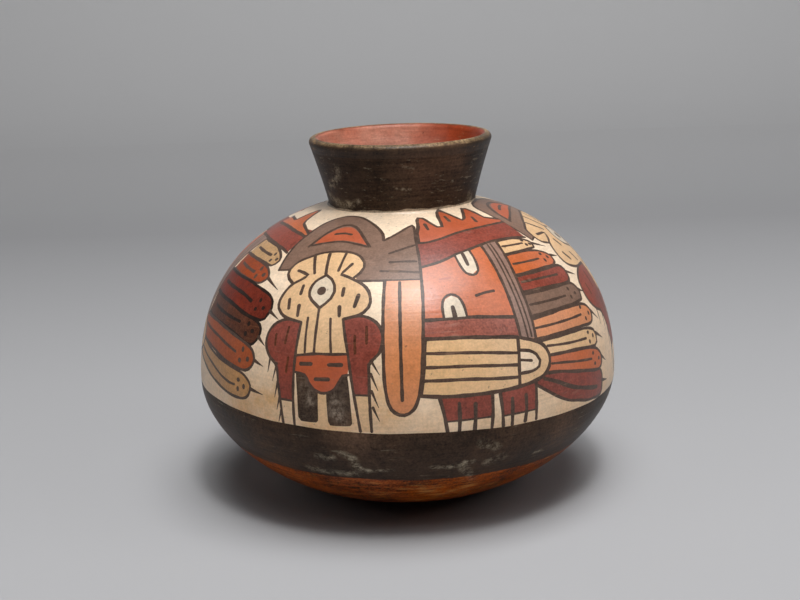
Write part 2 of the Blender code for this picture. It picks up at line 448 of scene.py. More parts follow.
def paint_face(brush):
    brush.fill("buff", [
        (-36.9, 63.3), (-39.9, 61.3), (-41.6, 58.8), (-42.3, 56.6), (-41.8, 54.4), (-40.3, 52.5),
        (-38.2, 51.2), (-39.1, 47.7), (-39.8, 43.8), (-39.2, 40.8), (-37.6, 39.0), (-35.4, 37.7),
        (-32.8, 37.1), (-29.9, 36.5), (-29.9, 36.5), (-30.0, 25.2), (-30.0, 25.2), (-15.2, 26.7),
        (-15.2, 26.7), (-16.2, 32.5), (-17.3, 39.1), (-17.3, 39.1), (-14.2, 40.2), (-11.7, 41.8),
        (-10.4, 43.8), (-10.0, 45.8), (-10.9, 49.9), (-13.0, 52.7), (-15.4, 54.1), (-15.4, 54.1),
        (-16.0, 56.4), (-14.3, 58.3), (-13.7, 61.0), (-14.3, 63.3), (-16.5, 65.5), (-21.6, 67.3),
        (-25.0, 67.4), (-30.1, 66.7), (-33.9, 65.5), (-36.9, 63.3), (-36.9, 63.3)])
    brush.line([(-38.2, 51.2), (-40.3, 52.6), (-41.8, 54.4), (-42.3, 56.6), (-41.6, 58.8), (-39.9, 61.3),
                (-36.9, 63.5), (-33.9, 65.5), (-30.1, 66.8), (-25.0, 67.5), (-21.6, 67.4), (-18.2, 66.5),
                (-15.8, 64.8), (-14.2, 62.6), (-13.9, 60.2), (-14.8, 57.7), (-16.6, 55.5)], 1.4)
    brush.line([(-38.4, 56.6), (-35.6, 56.0), (-33.6, 55.2), (-35.4, 52.8), (-37.6, 50.8), (-39.1, 47.7),
                (-39.8, 43.8), (-39.2, 40.8), (-37.6, 39.0), (-35.4, 37.7), (-32.8, 37.1), (-29.9, 36.5)],
               1.5)
    brush.line([(-18.6, 61.6), (-20.0, 59.2), (-21.2, 56.7), (-18.8, 55.8), (-15.2, 54.0), (-13.0, 52.6),
                (-10.9, 49.9), (-10.0, 45.8), (-10.4, 43.8), (-11.7, 41.8), (-14.2, 40.2), (-17.3, 39.1)],
               1.5)
    brush.line([(-35.2, 64.1), (-31.3, 56.3)], 1.5)
    brush.line([(-29.4, 65.8), (-27.0, 56.6)], 1.6)
    brush.line([(-22.6, 66.6), (-22.8, 58.3)], 1.3)
    brush.outlined("white", [
        (-26.5, 56.0), (-26.5, 56.0), (-29.5, 52.9), (-30.3, 49.6), (-29.7, 46.8), (-28.4, 45.2),
        (-26.7, 43.8), (-25.3, 42.6), (-25.3, 42.6), (-23.8, 44.4), (-22.4, 46.6), (-21.8, 49.3),
        (-22.4, 51.9), (-24.1, 54.4)], 1.4)
    brush.round_spot((-26.2, 49.3), 3.5)
    for top, bottom in (((-33.3, 50.6), (-33.1, 47.4)), ((-36.3, 44.6), (-35.5, 41.3)),
                        ((-32.2, 42.7), (-31.7, 39.0)), ((-19.0, 50.8), (-18.9, 48.0)),
                        ((-13.9, 48.3), (-14.6, 43.9)), ((-19.1, 43.5), (-18.7, 40.2))):
        brush.line([top, bottom], 1.75)
    brush.line([(-28.1, 38.6), (-27.2, 26.2)], 1.15)
    brush.line([(-25.3, 42.6), (-24.9, 36.0), (-24.5, 26.4)], 1.3)
    brush.line([(-21.1, 38.9), (-19.7, 26.6)], 1.15)


def paint_arms(brush):
    brush.fill("dark_red", [
        (-29.9, 36.5), (-32.8, 37.1), (-35.0, 37.1), (-37.9, 35.4), (-39.7, 32.7), (-40.3, 29.2),
        (-39.7, 25.9), (-37.9, 22.7), (-36.0, 21.0), (-35.0, 18.4), (-34.5, 14.6), (-33.6, 9.0),
        (-33.6, 9.0), (-29.8, 8.6), (-29.8, 8.6), (-29.9, 24.0), (-29.9, 36.5), (-29.9, 36.5)])
    brush.fill("cream", [(-33.5, 8.4), (-33.5, 8.4), (-32.8, -0.6), (-32.8, -0.6), (-29.5, -0.6),
                         (-29.5, -0.6), (-29.8, 8.2), (-29.8, 8.2)])
    brush.line([(-29.9, 36.7), (-32.8, 37.2), (-35.0, 37.2), (-37.9, 35.5), (-39.7, 32.8), (-40.3, 29.2),
                (-39.7, 25.9), (-37.9, 22.7), (-36.0, 21.0), (-35.0, 18.4), (-34.5, 14.6), (-33.8, 9.6),
                (-33.2, 4.5), (-32.8, -0.4)], 1.35)
    brush.line([(-29.9, 36.7), (-29.9, 24.0), (-29.7, 10.0), (-29.4, -0.4)], 1.4)
    brush.line([(-33.4, 8.6), (-29.8, 8.5)], 1.0)
    for start, end in (((-33.5, 34.4), (-33.7, 28.6)), ((-37.2, 31.2), (-36.9, 27.4)),
                       ((-32.0, 23.6), (-32.2, 18.6))):
        brush.line([start, end], 1.2, "umber")
    for start, end in (((-37.8, 22.7), (-38.1, 17.3)), ((-35.4, 20.9), (-36.3, 14.6)),
                       ((-34.6, 14.6), (-35.4, 8.8)), ((-33.8, 9.4), (-34.7, 4.4)),
                       ((-33.3, 4.6), (-34.2, 0.0))):
        brush.spike(start, end)
    brush.fill("dark_red", [
        (-17.4, 39.0), (-14.2, 40.2), (-11.7, 40.4), (-9.1, 39.2), (-7.2, 37.1), (-6.2, 34.2), (-6.1, 31.3),
        (-6.8, 27.5), (-8.5, 25.0), (-9.5, 23.2), (-9.4, 18.0), (-9.3, 12.6), (-9.3, 12.6), (-12.9, 12.8),
        (-12.9, 12.8), (-13.8, 16.7), (-15.0, 26.0), (-16.2, 32.5), (-17.4, 39.0), (-17.4, 39.0)])
    brush.fill("buff", [(-12.9, 12.2), (-12.9, 12.2), (-11.8, -0.6), (-11.8, -0.6), (-9.0, -0.6),
                        (-9.0, -0.6), (-9.3, 12.0), (-9.3, 12.0)])
    brush.line([(-17.4, 39.0), (-14.2, 40.2), (-11.7, 40.4), (-9.1, 39.2), (-7.2, 37.1), (-6.2, 34.2),
                (-6.1, 31.3), (-6.8, 27.5), (-8.5, 25.0), (-9.5, 23.2), (-9.4, 18.0), (-9.3, 10.0),
                (-9.0, -0.4)], 1.4)
    brush.line([(-17.4, 39.0), (-16.2, 32.5), (-15.0, 26.0), (-13.8, 16.7), (-12.7, 8.0), (-11.8, -0.4)], 1.3)
    brush.line([(-12.9, 12.5), (-9.4, 12.5)], 1.0)
    for start, end in (((-10.5, 36.4), (-10.3, 30.6)), ((-13.6, 33.2), (-13.2, 27.2))):
        brush.line([start, end], 1.2, "umber")
    for start, end in (((-9.0, 24.6), (-6.8, 19.7)), ((-9.0, 20.0), (-7.2, 14.2)),
                       ((-8.8, 14.0), (-7.1, 8.2)), ((-8.5, 8.2), (-7.0, 3.4))):
        brush.spike(start, end)


def paint_loincloth_and_legs(brush):
    brush.fill("buff", [(-22.7, 12.8), (-22.7, 12.8), (-22.7, 0.4), (-22.7, 0.4), (-20.2, 0.4), (-20.2, 0.4),
                        (-20.4, 12.8), (-20.4, 12.8)])
    brush.fill("leg_brown", [
        (-29.2, 18.6), (-29.2, 18.6), (-26.7, 18.2), (-25.6, 15.5), (-23.8, 13.4), (-22.7, 12.3),
        (-22.7, 12.3), (-22.7, 2.4), (-23.2, 1.7), (-27.5, 1.7), (-28.2, 3.0), (-28.5, 10.5), (-29.2, 18.6),
        (-29.2, 18.6)])
    brush.fill("leg_brown", [
        (-20.5, 12.6), (-20.5, 12.6), (-17.8, 15.0), (-16.5, 18.6), (-15.0, 19.2), (-15.0, 19.2),
        (-14.7, 16.7), (-14.2, 10.5), (-13.8, 2.2), (-14.3, 1.3), (-19.5, 1.1), (-20.0, 2.4), (-20.3, 8.0),
        (-20.5, 12.6), (-20.5, 12.6)])
    brush.fill("brick", [
        (-29.6, 24.8), (-29.6, 24.8), (-24.5, 25.8), (-15.2, 26.5), (-15.2, 26.5), (-14.7, 23.4),
        (-14.9, 19.6), (-14.9, 19.6), (-16.2, 19.4), (-17.3, 16.9), (-18.4, 14.4), (-20.0, 13.2),
        (-22.2, 13.0), (-23.8, 14.0), (-25.4, 16.3), (-26.6, 18.6), (-29.5, 19.2), (-29.5, 19.2)])
    brush.line([(-29.9, 24.8), (-24.5, 26.0), (-20.0, 26.3), (-15.2, 26.7)], 1.25)
    brush.line([(-29.3, 18.9), (-26.6, 18.3), (-25.4, 15.9), (-23.8, 13.5), (-22.0, 12.5), (-20.0, 12.8),
                (-18.2, 14.3), (-17.1, 17.0), (-16.2, 19.1), (-14.9, 19.4)], 1.2)
    for start, end in (((-28.0, 22.1), (-25.0, 22.4)), ((-20.1, 22.6), (-16.7, 22.8)),
                       ((-23.5, 17.2), (-20.0, 17.5))):
        brush.line([start, end], 1.8)


def paint_pendant(brush):
    edge = [(-6.2, 54.2), (-6.2, 54.2), (-6.2, 44.0), (-5.9, 29.2), (-5.6, 17.5), (-4.7, 9.6), (-3.2, 6.4),
            (-0.9, 5.4), (1.3, 7.2), (2.6, 11.0), (3.5, 17.0), (4.1, 25.0), (4.7, 35.0), (5.3, 45.0),
            (5.6, 54.2), (5.6, 54.2)]
    brush.fill("light_orange", edge)
    brush.line(edge[1:-1], 1.5)
    brush.line([(-1.4, 53.6), (-1.4, 32.0), (-1.3, 10.8)], 1.5)


def paint_back_and_panel(brush):
    lower_line = [(5.8, 59.7), (13.2, 61.8), (18.5, 64.0), (24.6, 65.8), (30.8, 67.4), (37.4, 68.5),
                  (44.0, 68.5), (50.6, 68.0), (58.0, 66.2)]
    panel_foot = [(4.8, 38.4), (14.0, 38.4), (20.5, 38.0), (31.4, 36.0)]
    brush.fill("dark_red", between_lines(CREST_FOOT, lower_line))
    brush.fill("red_orange", [(5.6, 59.6), (5.6, 59.6), (5.2, 50.0), (4.6, 38.4), (4.6, 38.4), (14.0, 38.4),
                              (20.5, 38.0), (31.4, 36.0), (31.4, 36.0), (31.6, 50.0), (32.2, 67.2),
                              (32.2, 67.2), (24.6, 65.8), (18.5, 64.0), (13.2, 61.8), (5.6, 59.6),
                              (5.6, 59.6)])
    brush.fill("grey_mauve", [(32.2, 67.4), (32.2, 67.4), (31.6, 50.0), (31.5, 28.2), (31.5, 28.2),
                              (36.4, 27.0), (36.4, 27.0), (36.8, 33.0), (37.5, 48.0), (39.2, 60.0),
                              (40.7, 68.2), (40.7, 68.2), (36.5, 68.2), (32.2, 67.4), (32.2, 67.4)])
    # Painted sheen: the strip under the panel is filled with a paler red that stands in for the sheen on it
    brush.fill("sheen_red", [(4.6, 38.4), (4.6, 38.4), (14.0, 38.4), (20.5, 38.0), (31.4, 36.0), (31.4, 36.0),
                            (31.4, 29.0), (31.4, 29.0), (22.1, 30.6), (15.0, 31.6), (4.4, 32.0), (4.4, 32.0)])
    brush.line(lower_line, 1.5)
    brush.line(panel_foot, 1.6)
    brush.line([(32.4, 67.0), (31.9, 50.0), (31.6, 29.0)], 1.5)
    brush.line([(35.5, 67.4), (34.1, 50.0), (33.9, 28.0)], 0.9)
    brush.line([(37.1, 67.4), (35.6, 50.0), (35.2, 28.0)], 0.9)
    brush.line([(40.7, 68.0), (39.2, 60.0), (37.5, 48.0), (36.8, 33.0), (36.4, 27.2)], 1.5)
    brush.fill("white", [(10.9, 38.9), (10.9, 38.9), (11.1, 43.0), (12.0, 45.8), (13.9, 47.0), (15.7, 45.8),
                         (16.6, 43.0), (17.0, 38.7), (17.0, 38.7)])
    brush.line([(10.7, 38.8), (10.7, 43.0), (11.6, 46.2), (13.9, 47.5), (16.0, 46.2), (17.0, 43.0),
                (17.3, 38.7)], 1.2)
    brush.line([(13.9, 38.9), (13.7, 42.6)], 2.0)
    brush.fill("white", [(19.5, 64.0), (19.5, 64.0), (20.0, 59.6), (21.0, 56.0), (23.1, 54.9), (25.2, 56.4),
                         (25.9, 60.6), (25.8, 65.8), (25.8, 65.8)])
    brush.line([(19.4, 64.2), (19.8, 59.4), (20.8, 55.7), (23.1, 54.4), (25.4, 56.0), (26.2, 60.6),
                (26.1, 66.0)], 1.2)
    brush.line([(22.7, 64.6), (22.7, 59.2)], 1.7)
    brush.line([(21.6, 46.0), (24.6, 46.7), (27.7, 46.9)], 1.3)
    brush.line([(11.5, 53.9), (14.9, 54.3)], 1.1, "brick")


def paint_wing(brush):
    brush.fill("buff", [(5.1, 31.7), (5.1, 31.7), (15.0, 31.3), (22.1, 30.3), (31.1, 28.4), (31.1, 28.4),
                        (34.3, 26.9), (37.1, 25.3), (38.9, 22.7), (39.6, 19.3), (38.8, 15.7), (36.5, 13.3),
                        (33.4, 12.0), (29.0, 11.4), (20.5, 11.0), (9.8, 11.4), (3.4, 12.0), (3.4, 12.0),
                        (4.3, 20.1), (5.1, 31.7), (5.1, 31.7)])
    brush.line([(5.2, 31.7), (15.0, 31.3), (22.1, 30.3), (29.7, 28.9), (32.6, 27.7), (35.4, 26.4),
                (37.6, 24.8), (39.1, 22.4), (39.7, 19.3), (39.0, 16.0), (36.9, 13.4), (33.4, 12.0),
                (28.0, 11.2), (20.5, 10.9), (9.8, 11.2), (3.2, 12.0)], 1.7)
    brush.line([(5.1, 31.2), (4.3, 20.1), (3.4, 12.2)], 1.2)
    brush.line([(4.9, 26.7), (15.0, 25.9), (22.1, 24.8), (29.6, 23.2)], 1.4)
    brush.line([(4.7, 21.8), (15.0, 21.2), (22.1, 20.2), (29.3, 19.0)], 1.4)
    brush.line([(4.1, 17.2), (15.0, 16.6), (22.1, 15.6), (28.9, 14.7)], 1.5)
    brush.line([(30.7, 28.6), (30.0, 22.1), (29.5, 17.3), (29.1, 11.8)], 1.7)
    brush.fill("cream", [(30.6, 23.4), (30.6, 23.4), (33.4, 22.8), (35.2, 21.1), (36.0, 18.9), (35.4, 17.1),
                         (33.4, 16.2), (29.9, 16.2), (29.9, 16.2)])
    brush.line([(30.7, 23.9), (33.4, 23.1), (35.4, 21.3), (36.3, 18.9), (35.7, 16.9), (33.4, 15.8),
                (29.6, 15.8)], 1.4)
    brush.line([(30.3, 20.5), (33.6, 19.5)], 1.3)


def paint_feet(brush):
    brush.fill("dark_red", [(7.7, 11.8), (7.7, 11.8), (21.3, 11.6), (21.3, 11.6), (21.2, 2.4), (21.2, 2.4),
                            (9.0, 2.4), (9.0, 2.4)])
    brush.fill("dark_red", [(23.3, 11.6), (23.3, 11.6), (34.1, 12.4), (34.1, 12.4), (33.6, 1.9),
                            (33.6, 1.9), (23.9, 1.9), (23.9, 1.9)])
    for path in ([(7.7, 11.4), (8.3, 8.0), (8.9, 3.6), (9.5, -1.8)],
                 [(21.3, 11.2), (21.2, 4.0), (20.8, -1.9)], [(23.3, 11.2), (23.8, 4.0), (23.9, -2.0)],
                 [(34.1, 12.0), (33.8, 4.0), (33.6, -1.8)]):
        brush.line(path, 1.6)
    for path in ([(12.6, 8.5), (12.6, 3.0), (12.4, -1.8)], [(16.7, 7.6), (16.6, 3.0), (16.3, -1.8)],
                 [(26.7, 7.6), (26.6, 3.0), (26.4, -2.0)], [(30.7, 7.8), (30.7, 3.0), (30.2, -1.6)]):
        brush.line(path, 1.75)
    brush.line([(9.0, 2.3), (21.0, 2.3)], 0.9)
    brush.line([(24.0, 1.8), (33.6, 1.8)], 0.9)


def paint_feather(brush, slip, edge, middle, dots, spike, middle_width=1.15, dot_size=1.6, ink="brown"):
    """A tail feather: a long lobe that starts under the wing and ends in a round tip with a flick on it."""
    brush.fill(slip, [edge[0], *edge, edge[-1]])
    brush.line(edge, slip=ink)
    brush.line(middle, middle_width, ink)
    for dot in dots:
        brush.dot(dot, dot_size, ink)
    if spike:
        brush.spike(spike[0], spike[1], 1.5)


def paint_tail(brush):
    paint_feather(brush, "buff",
                  [(38.6, 67.9), (47.5, 67.9), (51.9, 67.0), (55.9, 65.2), (57.8, 62.9), (56.6, 60.8),
                   (50.6, 60.9), (37.8, 61.1)],
                  [(41.4, 64.9), (52.6, 64.1)], [(53.9, 65.3), (54.0, 62.8), (56.1, 62.7)],
                  [(58.3, 62.4), (63.8, 59.0)])
    paint_feather(brush, "red_orange",
                  [(37.6, 60.6), (48.4, 60.5), (55.0, 59.3), (59.0, 57.2), (60.9, 54.8), (60.3, 52.0),
                   (58.4, 51.0), (52.8, 51.4), (46.2, 51.5), (36.4, 51.3)],
                  [(40.0, 56.1), (53.2, 55.5)], [(56.1, 57.1), (58.5, 54.9), (55.8, 54.0)],
                  [(61.3, 55.0), (64.9, 53.6)])
    paint_feather(brush, "dark_red",
                  [(36.4, 51.0), (50.0, 50.7), (57.0, 50.5), (60.7, 50.0), (62.2, 47.8), (61.9, 45.3),
                   (60.3, 43.0), (56.2, 43.0), (47.8, 43.9), (36.0, 44.4)],
                  [(39.0, 48.2), (47.8, 47.8), (56.2, 47.1)], [], [(62.3, 46.6), (66.7, 43.9)])
    paint_feather(brush, "mauve",
                  [(36.0, 43.5), (50.0, 42.9), (57.0, 42.6), (60.6, 41.8), (62.3, 39.6), (62.7, 37.4),
                   (61.8, 35.0), (57.0, 34.6), (47.0, 35.0), (35.6, 34.8)],
                  [(38.0, 39.1), (53.9, 38.5)], [(57.0, 40.5), (59.6, 37.9), (56.6, 37.2)],
                  [(62.8, 38.5), (65.2, 36.9)])
    paint_feather(brush, "light_orange",
                  [(35.6, 33.8), (45.1, 34.2), (49.2, 34.4), (54.8, 34.0), (60.3, 33.2), (62.9, 31.4),
                   (64.0, 28.8), (62.8, 25.9), (60.3, 25.2), (56.2, 25.8), (47.8, 26.3), (35.0, 26.5)],
                  [(37.3, 30.4), (57.5, 29.8)], [(58.6, 32.3), (62.1, 28.9), (59.5, 27.6)],
                  [(64.0, 29.3), (67.6, 24.8)])
    paint_feather(brush, "buff",
                  [(36.0, 25.6), (47.8, 25.3), (54.8, 24.9), (58.9, 24.0), (61.7, 22.5), (62.6, 20.4),
                   (62.2, 17.7), (60.7, 16.8), (57.5, 17.2), (53.4, 18.2), (47.8, 19.0), (37.6, 20.0)],
                  [(39.7, 23.2), (47.8, 21.9), (56.4, 20.9)], [(58.1, 22.6), (60.5, 20.6), (58.0, 19.1)],
                  [(62.8, 20.8), (66.7, 17.6)])
    paint_feather(brush, "red_orange",
                  [(37.6, 20.0), (47.8, 18.8), (53.4, 17.9), (58.4, 16.7), (61.7, 14.9), (63.6, 12.0),
                   (63.4, 9.4), (61.4, 7.6), (57.5, 8.4), (53.4, 9.8), (47.8, 11.4), (42.3, 13.1),
                   (36.5, 14.2)],
                  [(40.1, 16.6), (45.1, 15.6), (50.6, 14.2), (57.3, 12.7)],
                  [(58.5, 14.5), (61.6, 11.5), (58.9, 10.4)], [(63.6, 11.6), (66.5, 8.8)])
    paint_feather(brush, "dark_red",
                  [(35.0, 14.0), (42.3, 13.0), (47.8, 11.2), (53.4, 9.5), (57.5, 8.2), (61.6, 7.2),
                   (62.8, 4.6), (62.6, 1.0), (61.6, -2.6), (56.2, -2.2), (52.8, -1.5), (49.5, -0.2),
                   (45.9, 1.0), (42.9, 2.8), (40.1, 5.0), (37.6, 7.3), (33.0, 11.6)],
                  [(37.0, 12.0), (41.1, 9.7), (47.0, 5.8), (55.0, 2.5), (59.0, 1.4)], [],
                  [(62.6, 2.5), (66.7, 1.2)], 1.9)


def paint_crest(brush, outline):
    """The toothed crest over the back, with the line under it."""
    foot = [point for point in CREST_FOOT if point[0] <= outline[-1][0]]
    brush.fill("brick", between_lines(outline, foot))
    brush.line(outline, 1.7)
    brush.line(foot, 1.4)
    for start, end in (((12.5, 84.0), (13.0, 80.2)), ((28.0, 88.4), (27.8, 84.6)),
                       ((44.4, 84.6), (43.0, 81.4))):
        if start[0] < outline[-1][0]:
            brush.line([start, end], 1.6)


def paint_left_tail(brush):
    """The tail feathers of the figure that comes before the front one."""
    paint_feather(brush, "tan",
                  [(-75.5, 65.8), (-62.3, 65.4), (-57.1, 64.3), (-52.6, 62.0), (-50.5, 59.2), (-52.6, 56.4),
                   (-57.1, 56.8), (-62.3, 57.2), (-75.5, 57.4)],
                  [(-72.0, 61.5), (-57.8, 60.6)], [(-55.9, 61.5), (-52.6, 59.5), (-55.6, 58.4)],
                  None, 1.5, 1.7)
    paint_feather(brush, "ember",
                  [(-76.5, 57.0), (-65.7, 57.0), (-58.8, 56.4), (-53.6, 55.2), (-50.0, 51.8), (-51.7, 48.9),
                   (-55.3, 48.0), (-60.5, 48.5), (-77.0, 49.0)],
                  [(-72.7, 53.0), (-59.5, 51.9)], [(-56.6, 54.1), (-53.1, 51.9), (-56.9, 50.5)],
                  [(-49.8, 51.2), (-42.7, 47.5)], 1.5, 2.1)
    paint_feather(brush, "deep_red",
                  [(-79.5, 48.4), (-59.5, 48.2), (-53.3, 47.2), (-48.7, 46.2), (-44.7, 44.8), (-42.4, 42.6),
                   (-41.8, 40.2), (-42.6, 37.2), (-44.6, 35.0), (-53.3, 36.2), (-59.5, 37.6), (-65.6, 38.2),
                   (-79.5, 38.4)],
                  [(-75.0, 43.6), (-62.5, 43.2), (-56.4, 42.4), (-51.8, 41.0)],
                  [(-47.6, 42.2), (-45.2, 39.6), (-48.4, 38.6)],
                  [(-42.0, 39.0), (-37.9, 36.5)], 1.7, 1.7, "black_brown")
    paint_feather(brush, "umber",
                  [(-79.5, 38.0), (-65.6, 37.8), (-59.5, 37.2), (-53.3, 35.8), (-46.0, 34.4), (-43.4, 32.0),
                   (-43.5, 29.0), (-45.0, 26.2), (-47.2, 25.5), (-51.8, 27.1), (-56.4, 28.3), (-62.5, 29.1),
                   (-79.5, 29.3)],
                  [(-73.0, 33.8), (-53.3, 32.5)], [(-48.9, 32.7), (-46.6, 30.5), (-49.2, 28.9)],
                  [(-43.5, 28.9), (-40.5, 26.3)], 1.5, 2.0, "black_brown")
    paint_feather(brush, "rust",
                  [(-80.5, 28.2), (-68.7, 29.0), (-62.5, 28.6), (-56.4, 27.6), (-51.8, 26.6), (-47.8, 25.4),
                   (-45.0, 23.9), (-43.6, 20.9), (-44.3, 17.9), (-46.6, 15.9), (-50.3, 16.0), (-54.9, 16.7),
                   (-59.5, 17.7), (-65.6, 19.0), (-80.5, 20.6)],
                  [(-77.0, 25.0), (-68.7, 24.7), (-62.5, 24.1), (-56.4, 22.7), (-51.8, 21.5)],
                  [(-48.7, 23.2), (-46.2, 20.1), (-49.5, 18.9)], [(-43.5, 20.4), (-40.0, 18.9)], 1.4, 2.0)
    paint_feather(brush, "dull_tan",
                  [(-80.0, 19.8), (-71.7, 19.0), (-62.5, 17.2), (-56.4, 16.1), (-50.3, 15.2), (-46.6, 13.9),
                   (-44.2, 10.9), (-44.9, 7.1), (-47.2, 5.3), (-51.8, 5.1), (-56.4, 6.0), (-61.0, 7.4),
                   (-65.6, 8.7), (-70.2, 10.4), (-80.0, 13.4)],
                  [(-76.3, 16.1), (-70.2, 14.7), (-64.1, 13.1), (-57.9, 10.7), (-53.3, 9.5), (-50.9, 9.5)],
                  [(-49.2, 11.7), (-46.8, 9.8), (-49.3, 8.3)], [(-44.1, 9.7), (-39.5, 8.7)], 1.2, 1.9)


def paint_left_crest(brush):
    """The back and crest of the figure that comes before the front one."""
    crest = [(-90.5, 78.5), (-83.0, 79.0), (-77.3, 79.6), (-76.9, 85.0), (-76.2, 88.6), (-74.7, 89.2),
             (-72.5, 88.2), (-69.2, 85.0), (-65.7, 81.2), (-63.5, 79.6), (-58.8, 78.2), (-55.3, 77.1),
             (-49.6, 75.0)]
    crest_foot = [(-90.5, 73.0), (-83.0, 74.2), (-76.1, 75.0), (-69.2, 75.1), (-62.3, 74.6), (-55.3, 74.0),
                  (-49.6, 73.0)]
    back_foot = [(-90.5, 65.4), (-79.6, 66.4), (-69.2, 66.4), (-62.3, 65.9), (-55.3, 64.9), (-50.1, 63.4)]
    brush.fill("dark_red", between_lines(crest_foot, back_foot))
    brush.fill("red_orange", between_lines(crest, crest_foot))
    brush.line(crest, 1.5)
    brush.line(crest_foot, 1.9)
    brush.line(back_foot, 1.5)


def paint_figure(brush, crest_outline=FRONT_CREST):
    paint_back_and_panel(brush)
    paint_crest(brush, crest_outline)
    paint_headdress(brush)
    paint_face(brush)
    paint_loincloth_and_legs(brush)
    paint_arms(brush)
    paint_pendant(brush)
    paint_feet(brush)
    paint_wing(brush)


EDGE_END = 184.0
EDGE_DEGREES = [2.0 * step for step in range(-92, 93)]
EDGE_MARGIN = 3.0
BAND_WAVES = ((0.14, 5, 0.6), (0.10, 11, 0.0), (0.07, 23, 1.0))
BAND_TOP = -1.34
BAND_TOP_TILT = -2.16
NECK_WAVES = ((0.12, 4, 1.1), (0.08, 9, 0.0), (0.05, 21, 0.4))
NECK_EDGE = SEAM_MIDDLE + 0.3
NECK_EDGE_TILT = 0.5
NECK_EDGE_SAG = 0.4
WORN_WAVES = ((0.2, 13, 0.3), (0.1, 31, 0.0))
WORN_WIDTH = 0.7


def waver(degrees, waves):
    """How far a hand-drawn edge strays at a turn round the jar. Each wave is (size, how many, start)."""
    turn = math.radians(degrees)
    return sum(size * math.sin(count * turn + start) for size, count, start in waves)


def paint_band_edge(brush):
    """The dark band's upper edge: nearly level, a little lower on the right, and a little uneven."""
    edge = []
    for degrees in EDGE_DEGREES:
        tilt = BAND_TOP_TILT * math.sin(math.radians(degrees))
        edge.append((degrees, BAND_TOP + tilt + waver(degrees, BAND_WAVES)))
    foot = PAINT_LOW - EDGE_MARGIN
    brush.keep("band", [(-EDGE_END, foot), *edge, (EDGE_END, foot)])


def paint_neck_edge(brush):
    """The lower edge of the dark neck, drawn round the coil by hand, and the worn slip along it."""
    edge = []
    for degrees in EDGE_DEGREES:
        side = math.sin(math.radians(degrees))
        tilt = NECK_EDGE_TILT * side - NECK_EDGE_SAG * side**2
        edge.append((degrees, NECK_EDGE + tilt + waver(degrees, NECK_WAVES)))
    top = SEAM_HIGH + EDGE_MARGIN
    brush.keep("neck", [(-EDGE_END, top), *edge, (EDGE_END, top)])
    worn_edge = [(degrees, along + WORN_WIDTH + waver(degrees, WORN_WAVES)) for degrees, along in edge]
    brush.keep("scuffed", [*edge, *reversed(worn_edge)])


# Turns of the figure's own parts, and where the figures before and after the front one have them
FIGURE_LEFT = -49.5
FIGURE_CHEEK = -40.0
FIGURE_EYE = -26.2
FIGURE_RIGHT = 58.6
PANEL_END = 31.5
TAIL_ROOT = 40.0
BEFORE_TURNS = (-175.3, -88.5, -75.5)
AFTER_TURNS = (58.4, 65.4, 88.5, 184.7)
AFTER_LIFT = 0.34


def paint_frieze():
    front = Brush()
    before = Brush((FIGURE_LEFT, PANEL_END, TAIL_ROOT), BEFORE_TURNS)
    after = Brush((FIGURE_LEFT, FIGURE_CHEEK, FIGURE_EYE, FIGURE_RIGHT), AFTER_TURNS, AFTER_LIFT)
    paint_left_tail(front)
    paint_figure(before, HIDDEN_CREST)
    paint_left_crest(front)
    paint_tail(after)
    paint_figure(after)
    paint_tail(front)
    paint_figure(front)
    paint_band_edge(front)
    paint_neck_edge(front)


# Meshes
def unwrap_split(painted):
    """The painted areas, with copies one full turn away for those that pass the back seam."""
    placed = []
    for slip, outline in painted:
        degrees = [point[0] for point in outline]
        for shift in (-360.0, 0.0, 360.0):
            if slip in ("band", "neck", "scuffed") and shift:
                continue
            if max(degrees) + shift > -180.0 and min(degrees) + shift < 180.0:
                placed.append((slip, [(point[0] + shift, point[1]) for point in outline]))
    return placed


def inside_area(outline, points):
    """Which of the points lie inside the outline, which may cross itself."""
    start = np.array(outline)
    end = np.roll(start, -1, axis=0)
    x, y = points[:, 0][:, None], points[:, 1][:, None]
    side = (end[:, 0] - start[:, 0]) * (y - start[:, 1]) - (x - start[:, 0]) * (end[:, 1] - start[:, 1])
    up = (start[:, 1] <= y) & (end[:, 1] > y) & (side > 0)
    down = (start[:, 1] > y) & (end[:, 1] <= y) & (side < 0)
    return (up.sum(axis=1) - down.sum(axis=1)) != 0


PAINT_NAMES = [*SLIPS, "band", "neck"]
PLANE_SCALE = 1.2
CUT_REACH = 1e-4
JOIN_DIGITS = 4
WELD_DIGITS = 6
SNAP_REACH = 0.001


